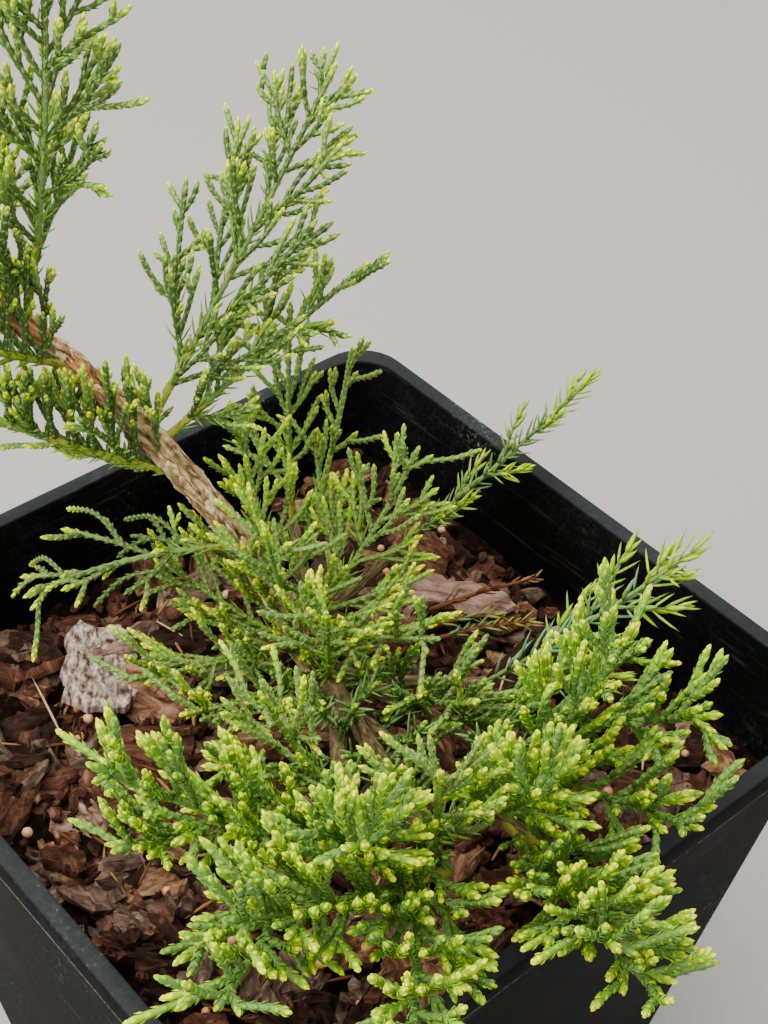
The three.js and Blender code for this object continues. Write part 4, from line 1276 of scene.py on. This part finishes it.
# Dead twigs by the right wall: both ends, and the colours of their older and younger leaves
DEAD_TWIGS = (
    ((37.3, 9.0, 8.0), (60.0, 0.2, 10.5), "leaf_dead_red_brown", "leaf_withered"),
    ((33.0, 3.0, 6.5), (52.0, -6.5, 7.5), "leaf_shaded_green", "young_bark_olive"),
    ((36.0, 6.0, 6.5), (49.0, -1.0, 7.0), "leaf_shaded_green", "young_bark_olive"))
# The radius of the rim's rounded edges, and how far in and down the middle of the round is
LIP = 0.9
LIP_MIDDLE = 0.25


def wall_half(z):
    """Half the outer width of the pot's wall at a height."""
    return FOOT_HALF + (RIM_HALF - RIM_STEP - FOOT_HALF) * z / POT_HEIGHT


def flake(heap, middle, long, wide, thick, turn, seed, slot, corners):
    """One bark chip: a torn flat flake with broken edges and an uneven layered top."""
    rng = np.random.default_rng(seed)
    angle = (np.arange(corners) + rng.uniform(-0.42, 0.42, corners)) * 2 * np.pi / corners
    square = 1 / np.maximum(np.abs(np.cos(angle)), np.abs(np.sin(angle))) ** 0.75
    reach = square * rng.uniform(0.66, 1.0, corners)
    outline = np.stack((np.cos(angle) * reach * long / 2, np.sin(angle) * reach * wide / 2), 1)
    rings, heights = [], []
    for share, height, wild in CHIP_RINGS:
        rings.append(outline * (share * rng.uniform(0.93, 1.07, (corners, 1))))
        heights.append((height + rng.uniform(-wild, wild, corners)) * thick)
    flat = np.concatenate(rings)
    curl = rng.uniform(-0.25, 0.25) * thick
    z = np.concatenate(heights) + curl * (2 * flat[:, 1] / wide) ** 2
    top = (0.5 + rng.uniform(-0.4, 0.3)) * thick
    points = np.vstack((np.column_stack((flat, z)), (0, 0, -0.5 * thick), (0, 0, top)))
    uvs = points[:, :2] / 10 + rng.uniform(0, 50, 2)
    placed = points @ np.array(turn).T + np.array(middle)
    heap.add(placed, closed_faces(len(CHIP_RINGS), corners), slot, uvs)


def slab(heap, middle, outline, thick, turn, seed, slot):
    """One large chip with an outline of its own and a pitted, layered top."""
    rng = np.random.default_rng(seed)
    outline = np.array(outline, float)
    fine = []
    for a, b in zip(outline, np.roll(outline, -1, axis=0)):
        for k in range(4):
            fine.append(a + (b - a) * k / 4 + rng.normal(0, 0.22, 2))
    fine = np.array(fine)
    sides = len(fine)
    flat = np.concatenate([fine * share for share in SLAB_RINGS])
    x, y = flat[:, 0] + 40, flat[:, 1] + 40
    pits = sum(share * lattice_noise(x / long, y / wide, seed + k)
               for long, wide, k, share in PITS)
    steps = np.floor(lattice_noise(x / 7, y / 5, seed + 2) * 4) / 4
    top = thick * (0.28 + 0.25 * steps) + PIT_DEPTH * (pits - 0.5)
    ring = np.repeat(np.arange(len(SLAB_RINGS)), sides)
    z = np.where(ring == 0, -0.5 * thick, np.where(ring == 1, -0.05 * thick, top))
    ends = ((0, 0, -0.5 * thick), (0, 0, top[-sides:].mean()))
    points = np.vstack((np.column_stack((flat, z)), *ends))
    placed = points @ np.array(turn).T + np.array(middle)
    heap.add(placed, closed_faces(len(SLAB_RINGS), sides), slot, points[:, :2] / 10)


def active(name):
    """The active object under its new name."""
    piece = bpy.context.object
    piece.name = name
    piece.data.name = name
    return piece


def deselect():
    """Leaves edit mode and leaves nothing selected."""
    if bpy.context.object and bpy.context.object.mode != "OBJECT":
        bpy.ops.object.mode_set(mode="OBJECT")
    bpy.ops.object.select_all(action="DESELECT")


def settle(piece, nodes=()):
    """Rides the piece on the model's body and what it stands for."""
    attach(piece, "root")
    if nodes:
        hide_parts(*nodes)


# The stage

# The photo's view, solved from the square rim: the camera's place in millimetres, the way of
# the picture's right and top, and the focal length
CAMERA_PLACE = (-157.99, -188.09, 402.69)
CAMERA_RIGHT = (0.75915, -0.64982, 0.03768)
CAMERA_UP = (0.41173, 0.52423, 0.74543)
CAMERA_LENS = 63.79
# Soft lights: name, place and aim in metres, width in metres, and power in watts
SOFT_LIGHTS = (("overhead_soft", (-0.25, 0.35, 1.3), (0, 0, 0.12), 1.3, 43),
               ("left_soft", (-1.2, 0.2, 0.7), (0, 0, 0.15), 0.9, 19))
LIGHT_COLOUR = "#fff7ea"
SKY_COLOUR = "#f3f0e8"
SKY_STRENGTH = 1.75
FLOOR_COLOUR = "#8a8b8c"
FLOOR_SIZE = 6


# Properties

class PotProps(bpy.types.PropertyGroup):
    """Sizes of the nursery pot."""
    height: bpy.props.FloatProperty(name="Height", description="Height of the pot", unit="LENGTH",
                                    default=POT_HEIGHT * MM)
    rim_half: bpy.props.FloatProperty(name="Rim half width", unit="LENGTH",
                                      description="Half the width over the rim",
                                      default=RIM_HALF * MM)
    corner: bpy.props.FloatProperty(name="Foot corner", description="Corner radius at the foot",
                                    unit="LENGTH", default=FOOT_CORNER * MM)


class MulchProps(bpy.types.PropertyGroup):
    """How much bark lies on the growing medium."""
    chips: bpy.props.IntProperty(name="Chips", description="Number of bark chips", default=1250)
    prills: bpy.props.IntProperty(name="Prills", description="Number of fertiliser prills",
                                  default=44)
    litter: bpy.props.IntProperty(name="Litter", description="Number of fallen needles and straws",
                                  default=190)


class StageProps(bpy.types.PropertyGroup):
    """Floor and camera."""
    floor: bpy.props.FloatVectorProperty(name="Floor", description="Colour of the floor",
                                         subtype="COLOR", size=4,
                                         default=linear(FLOOR_COLOUR))
    lens: bpy.props.FloatProperty(name="Lens", description="Focal length in millimetres",
                                  default=CAMERA_LENS)


# Operators

class MakePot(bpy.types.Operator):
    """Makes the square black nursery pot"""
    bl_idname = "conifer.make_pot"
    bl_label = "Pot"

    def execute(self, context):
        props = context.scene.conifer_pot
        top, half = props.height / MM, props.rim_half / MM
        rim, inner = top - RIM_DROP, half - RIM_BAND
        # heights and half widths up the outside, over the rim and down to the inner floor
        profile = [(1, wall_half(1)), (rim - 1, wall_half(rim - 1)), (rim, half - 1.1),
                   (rim + 0.7, half - 0.5), (top - LIP, half),
                   (top - LIP_MIDDLE, half - LIP_MIDDLE), (top, half - LIP), (top, inner + LIP),
                   (top - LIP_MIDDLE, inner + LIP_MIDDLE), (top - LIP, inner),
                   (rim - 2, wall_half(rim - 2) - WALL), (FLOOR, wall_half(FLOOR) - WALL)]
        height, width = 0.0, FOOT_HALF - 1
        deselect()
        bpy.ops.mesh.primitive_plane_add(size=2 * width * MM, location=(0, 0, 0))
        pot = active("pot_shell")
        bpy.ops.object.mode_set(mode="EDIT")
        bpy.ops.mesh.select_all(action="SELECT")
        bpy.ops.mesh.bevel(offset=props.corner, segments=10, profile=0.5, affect="VERTICES")
        for z, wide in profile:
            rise = (z - height) * MM
            bpy.ops.mesh.extrude_region_move(TRANSFORM_OT_translate={"value": (0, 0, rise)})
            share = wide / width
            bpy.ops.transform.resize(value=(share, share, 1), center_override=(0, 0, 0))
            height, width = z, wide
        bpy.ops.mesh.select_all(action="SELECT")
        bpy.ops.mesh.normals_make_consistent(inside=False)
        bpy.ops.object.mode_set(mode="OBJECT")
        bpy.ops.object.shade_smooth_by_angle(angle=math.radians(32))
        pot.data.materials.append(pot_material())
        settle(pot, ["pot"])
        return {"FINISHED"}


class MakeMulch(bpy.types.Operator):
    """Fills the pot with growing medium and covers it with bark chips and prills"""
    bl_idname = "conifer.make_mulch"
    bl_label = "Growing medium"

    def execute(self, context):
        props = context.scene.conifer_mulch
        self.make_bed()
        self.make_chips(props.chips)
        self.make_prills(props.prills)
        self.make_litter(props.litter)
        return {"FINISHED"}

    def make_bed(self):
        """The growing medium, with an uneven top and rounded corners."""
        half = wall_half(MEDIUM_TOP) - WALL - 0.1
        deselect()
        bpy.ops.mesh.primitive_grid_add(x_subdivisions=BED_CELLS, y_subdivisions=BED_CELLS,
                                        size=2 * half * MM, location=(0, 0, 0))
        bed = active("compost_bed")
        count = len(bed.data.vertices)
        flat = np.empty(count * 3)
        bed.data.vertices.foreach_get("co", flat)
        flat = flat.reshape(-1, 3) / MM
        # the square's corners are drawn in to a circle
        past = np.maximum(np.abs(flat[:, :2]) - (half - BED_CORNER), 0)
        reach = np.maximum(np.hypot(past[:, 0], past[:, 1]), 1e-9)
        share = np.where(np.min(past, axis=1) > 0, np.max(past, axis=1) / reach, 1.0)
        flat[:, :2] = np.sign(flat[:, :2]) * (np.abs(flat[:, :2]) - past * (1 - share)[:, None])
        x, y = flat[:, 0] + 200, flat[:, 1] + 200
        bumps = sum(high * (lattice_noise(x / cell, y / cell, seed) - 0.5)
                    for seed, (cell, high) in enumerate(BED_BUMPS, SEEDS["bed"]))
        flat[:, 2] = MEDIUM_TOP - 0.9 + bumps
        bed.data.vertices.foreach_set("co", (flat * MM).ravel())
        bpy.ops.object.mode_set(mode="EDIT")
        bpy.ops.mesh.select_all(action="DESELECT")
        bpy.ops.mesh.select_mode(type="EDGE")
        bpy.ops.mesh.select_non_manifold()
        depth = (MEDIUM_TOP - FLOOR - 1.5) * MM
        bpy.ops.mesh.extrude_region_move(TRANSFORM_OT_translate={"value": (0, 0, -depth)})
        low = (wall_half(FLOOR + 3) - WALL - GAP) / half
        bpy.ops.transform.resize(value=(low, low, 0), center_override=(0, 0, (FLOOR + 1.2) * MM))
        bpy.ops.mesh.edge_face_add()
        bpy.ops.mesh.select_all(action="SELECT")
        bpy.ops.mesh.normals_make_consistent(inside=False)
        bpy.ops.object.mode_set(mode="OBJECT")
        bpy.ops.object.shade_smooth_by_angle(angle=math.radians(60))
        bed.data.materials.append(soil_material())
        settle(bed, ["growing_medium"])

    def make_chips(self, count):
        """Loose bark chips, from large ones low down to crumbs on top, and two large pale ones."""
        rng = np.random.default_rng(SEEDS["chips"])
        heap = Heap()
        room = wall_half(MEDIUM_TOP) - WALL - 1.0
        foot = np.array(STEM["foot"])
        for i in range(count):
            layer = i / count
            small = layer > CRUMBS_ABOVE and rng.random() < 0.68
            long = rng.uniform(*(CRUMB_LONG if small else CHIP_LONG))
            if not small and rng.random() < 0.2:
                long += rng.uniform(3, 8)
            wide = long * rng.uniform(*CHIP_SHAPE)
            thick = rng.uniform(*(CRUMB_THICK if small else CHIP_THICK))
            spot = rng.uniform(-1, 1, 2) * (room - 0.42 * long)
            if np.hypot(*(spot - foot)) < 4.5 + wide / 2:
                continue
            tilt = rng.normal(0, 36 if rng.random() < 0.35 else 14)
            height = MEDIUM_TOP - 1.6 + PILE * layer * rng.uniform(0.25, 1.0) + 0.03 * abs(tilt)
            turn = (Matrix.Rotation(rng.uniform(0, 2 * math.pi), 3, "Z")
                    @ Matrix.Rotation(math.radians(tilt), 3, "X")
                    @ Matrix.Rotation(math.radians(rng.normal(0, 10)), 3, "Y"))
            slot = int(rng.choice(5, p=CRUMB_SHARES if small else CHIP_SHARES))
            flake(heap, (*spot, height), long, wide, thick, turn, SEEDS["chip"] + i, slot,
                  corners=6 if small else 11)
        lean = Matrix.Rotation(math.radians(LARGE_LEAN), 3, "X")
        for outline, (x, y, over), about, thick, seed, slot in LARGE_CHIPS:
            turn = Matrix.Rotation(math.radians(about), 3, "Z") @ lean
            slab(heap, (x, y, MEDIUM_TOP + over), outline, thick, turn, SEEDS[seed], slot)
        chips = heap.build("bark_chips", [
            chip_material(name, list(zip(places, colours)), seed,
                          *(PITTED if "pitted" in name else TORN))
            for seed, (name, places, colours) in enumerate(CHIP_TONES, 1)])
        deselect()
        chips.select_set(True)
        bpy.context.view_layer.objects.active = chips
        bpy.ops.object.shade_smooth_by_angle(angle=math.radians(38))
        settle(chips)

    def make_prills(self, count):
        """Coated fertiliser prills, about 2 mm across, tan to orange."""
        rng = np.random.default_rng(SEEDS["prills"])
        deselect()
        bpy.ops.mesh.primitive_ico_sphere_add(subdivisions=2, radius=1.0)
        ball = bpy.context.object
        points = np.array([v.co[:] for v in ball.data.vertices])
        faces = np.array([p.vertices[:] for p in ball.data.polygons])
        bpy.data.objects.remove(ball)
        heap = Heap()
        room = wall_half(MEDIUM_TOP) - WALL - 4
        for _ in range(count):
            radius = rng.uniform(*PRILL_RADIUS)
            spot = rng.uniform(-1, 1, 2) * room
            height = MEDIUM_TOP + rng.uniform(1.0, 3.8)
            heap.add(points * radius + np.array((*spot, height)), faces, int(rng.integers(0, 3)))
        # a resin coat, smooth and slightly glossy
        shells = [new_material(name, Base_Color=linear(colour), Roughness=0.38)[0]
                  for name, colour in PRILL_TONES]
        settle(heap.build("fertiliser_prills", shells))

    def make_litter(self, count):
        """Fallen needles and straws, and dead twigs by the right wall."""
        rng = np.random.default_rng(SEEDS["litter"])
        fallen = Foliage()
        room = wall_half(MEDIUM_TOP) - WALL - 6
        for i in range(count):
            spot = rng.uniform(-1, 1, 2) * room
            if i % 2:
                spot = np.clip(rng.normal((4, -6), (22, 20)), -room, room)
            heading = rng.uniform(0, 2 * math.pi)
            way = direction(math.degrees(heading), rng.normal(0, 9))
            straw = rng.random() < 0.1
            tone = "straw_pale" if straw else ("leaf_withered", "leaf_dead_red_brown")[i % 3 > 0]
            long = rng.uniform(9, 17) if straw else rng.uniform(4, 9)
            at = np.array((*spot, MEDIUM_TOP + rng.uniform(2.2, 4.8)))
            if max(abs(at + way * long)[:2]) < room + 3:
                fallen.add_needle(at=at, way=way, out=UP, long=long,
                                  wide=0.3 if straw else rng.uniform(0.28, 0.5),
                                  tone=TONES.index(tone))
        for k, (root, end, older, younger) in enumerate(DEAD_TWIGS):
            root, end = np.array(root) + UP * MEDIUM_TOP, np.array(end) + UP * MEDIUM_TOP
            twig = [root, mix(root, end, 0.5) + UP * 0.8, end]
            line, _ = smooth_line(twig, 2.0)
            mesh, faces = tube(line, UP, np.linspace(0.6, 0.3, len(line)), 6)
            fallen.cores.add(mesh, faces, TONES.index("leaf_dead_red_brown"))
            awl_leaves(fallen, twig, UP, (0.1, 0.6), (SEEDS["dead_twigs"], k), older, (2.6, 4.4))
            awl_leaves(fallen, twig, UP, (0.6, 1.0), (SEEDS["dead_tips"], k), younger, (2.2, 3.8))
        tones = leaf_materials()
        settle(fallen.cores.build("dead_twigs", tones))
        settle(fallen.needle_heap().build("fallen_needles", tones))


class MakeLimbs(bpy.types.Operator):
    """Makes the stem and the boughs with their bark"""
    bl_idname = "conifer.make_limbs"
    bl_label = "Stem and boughs"

    def execute(self, context):
        lines, _ = PLANT
        barks = [bark_material(name) for name in BARK_TONES]
        heap = Heap()
        foot = lines["stem"][0]
        way = unit(lines["stem"][1] - foot)
        knots = [spec[1] for spec in SPRAYS.values() if spec[0] == "stem" and spec[1] < 1]
        radii = [0.9 * radius for radius in STEM_RADIUS]
        whole = [foot - way * 2.5, *lines["stem"]]
        bark_tube(heap, whole, radii, 48, SEEDS["stem"], knots, STEM_FLARE, RED_FROM)
        settle(heap.build("stem_bark", barks[:2]), ["stem"])
        heap = Heap()
        bark_flakes(heap, whole, radii, STEM_FLAKES, SEEDS["stem_flakes"])
        settle(heap.build("stem_flakes", barks[:3]))
        heap = Heap()
        for k, (name, spec) in enumerate(BOUGHS.items()):
            bark_tube(heap, lines[name], spec[7:9], 20, SEEDS["boughs"] + 5 * k)
        settle(heap.build("boughs_bark", barks[3:]), [f"bough_{name}" for name in BOUGHS])
        return {"FINISHED"}


class MakeFoliage(bpy.types.Operator):
    """Grows the foliage: cords with scale leaves, awl leaves and needles"""
    bl_idname = "conifer.make_foliage"
    bl_label = "Foliage"

    def execute(self, context):
        lines, sprays = PLANT
        tones = leaf_materials()
        for group, names in GROUPS.items():
            leaves = Foliage()
            looks = LOOKS[GROUP_LOOKS.get(group, group)]
            grow_foliage(leaves, sprays, names, looks)
            if group == "centre":
                for k, name in enumerate(TWIGGY_BOUGHS):
                    bough_twigs(leaves, lines[name], BOUGHS[name][7:9], SEEDS["bough_twigs"] + k)
                basal_twigs(leaves, lines["stem"][:5], BASAL_TWIGS, SEEDS["basal_twigs"])
            nodes = [f"foliage_{name}" for name in names]
            settle(leaves.cores.build(f"cords_{group}", tones), nodes)
            if leaves.scales["at"]:
                settle(leaves.scale_heap().build(f"scale_leaves_{group}", tones))
            if leaves.needles["at"]:
                settle(leaves.needle_heap().build(f"needles_{group}", tones))
        return {"FINISHED"}


class MakeStage(bpy.types.Operator):
    """Sets the pale floor, the soft lights and the camera"""
    bl_idname = "conifer.make_stage"
    bl_label = "Stage"

    def execute(self, context):
        props = context.scene.conifer_stage
        deselect()
        bpy.ops.mesh.primitive_plane_add(size=FLOOR_SIZE, location=(0, 0, 0))
        floor = active("floor")
        material, _ = new_material("matt_paper", Base_Color=props.floor, Roughness=0.9)
        floor.data.materials.append(material)
        for name, spot, aim, size, power in SOFT_LIGHTS:
            light = bpy.data.lights.new(name, "AREA")
            light.size = size
            light.energy = power
            light.color = linear(LIGHT_COLOUR)[:3]
            lamp = bpy.data.objects.new(name, light)
            context.scene.collection.objects.link(lamp)
            lamp.location = spot
            lamp.rotation_euler = (Vector(aim) - Vector(spot)).to_track_quat("-Z", "Y").to_euler()
        world = bpy.data.worlds.new("soft_sky")
        world.use_nodes = True
        background = world.node_tree.nodes["Background"]
        background.inputs["Color"].default_value = linear(SKY_COLOUR)
        background.inputs["Strength"].default_value = SKY_STRENGTH
        context.scene.world = world
        lens = bpy.data.cameras.new("camera")
        lens.lens = props.lens
        camera = bpy.data.objects.new("camera", lens)
        context.scene.collection.objects.link(camera)
        right, up = Vector(CAMERA_RIGHT), Vector(CAMERA_UP)
        turn = Matrix((right, up, right.cross(up))).transposed()
        camera.matrix_world = Matrix.Translation(Vector(CAMERA_PLACE) * MM) @ turn.to_4x4()
        context.scene.camera = camera
        return {"FINISHED"}


class ConiferPanel(bpy.types.Panel):
    """Lists the pieces of the potted conifer"""
    bl_idname = "VIEW3D_PT_conifer"
    bl_label = "Potted conifer"
    bl_space_type = "VIEW_3D"
    bl_region_type = "UI"
    bl_category = "Conifer"

    def draw(self, context):
        for group in ("conifer_pot", "conifer_mulch", "conifer_stage"):
            props = getattr(context.scene, group)
            for key in props.__annotations__:
                self.layout.prop(props, key)
        for operator in OPERATORS:
            self.layout.operator(operator.bl_idname)


OPERATORS = (MakePot, MakeMulch, MakeLimbs, MakeFoliage, MakeStage)
GROUP_PROPS = {"conifer_pot": PotProps, "conifer_mulch": MulchProps, "conifer_stage": StageProps}
CLASSES = (*GROUP_PROPS.values(), *OPERATORS, ConiferPanel)
PLANT = grow_plant()


def register():
    for cls in CLASSES:
        bpy.utils.register_class(cls)
    for name, cls in GROUP_PROPS.items():
        setattr(bpy.types.Scene, name, bpy.props.PointerProperty(type=cls))


def unregister():
    for name in GROUP_PROPS:
        delattr(bpy.types.Scene, name)
    for cls in reversed(CLASSES):
        bpy.utils.unregister_class(cls)


def main():
    register()
    bpy.ops.conifer.make_pot()
    bpy.ops.conifer.make_mulch()
    bpy.ops.conifer.make_limbs()
    bpy.ops.conifer.make_foliage()
    bpy.ops.conifer.make_stage()


if __name__ == "__main__":
    main()
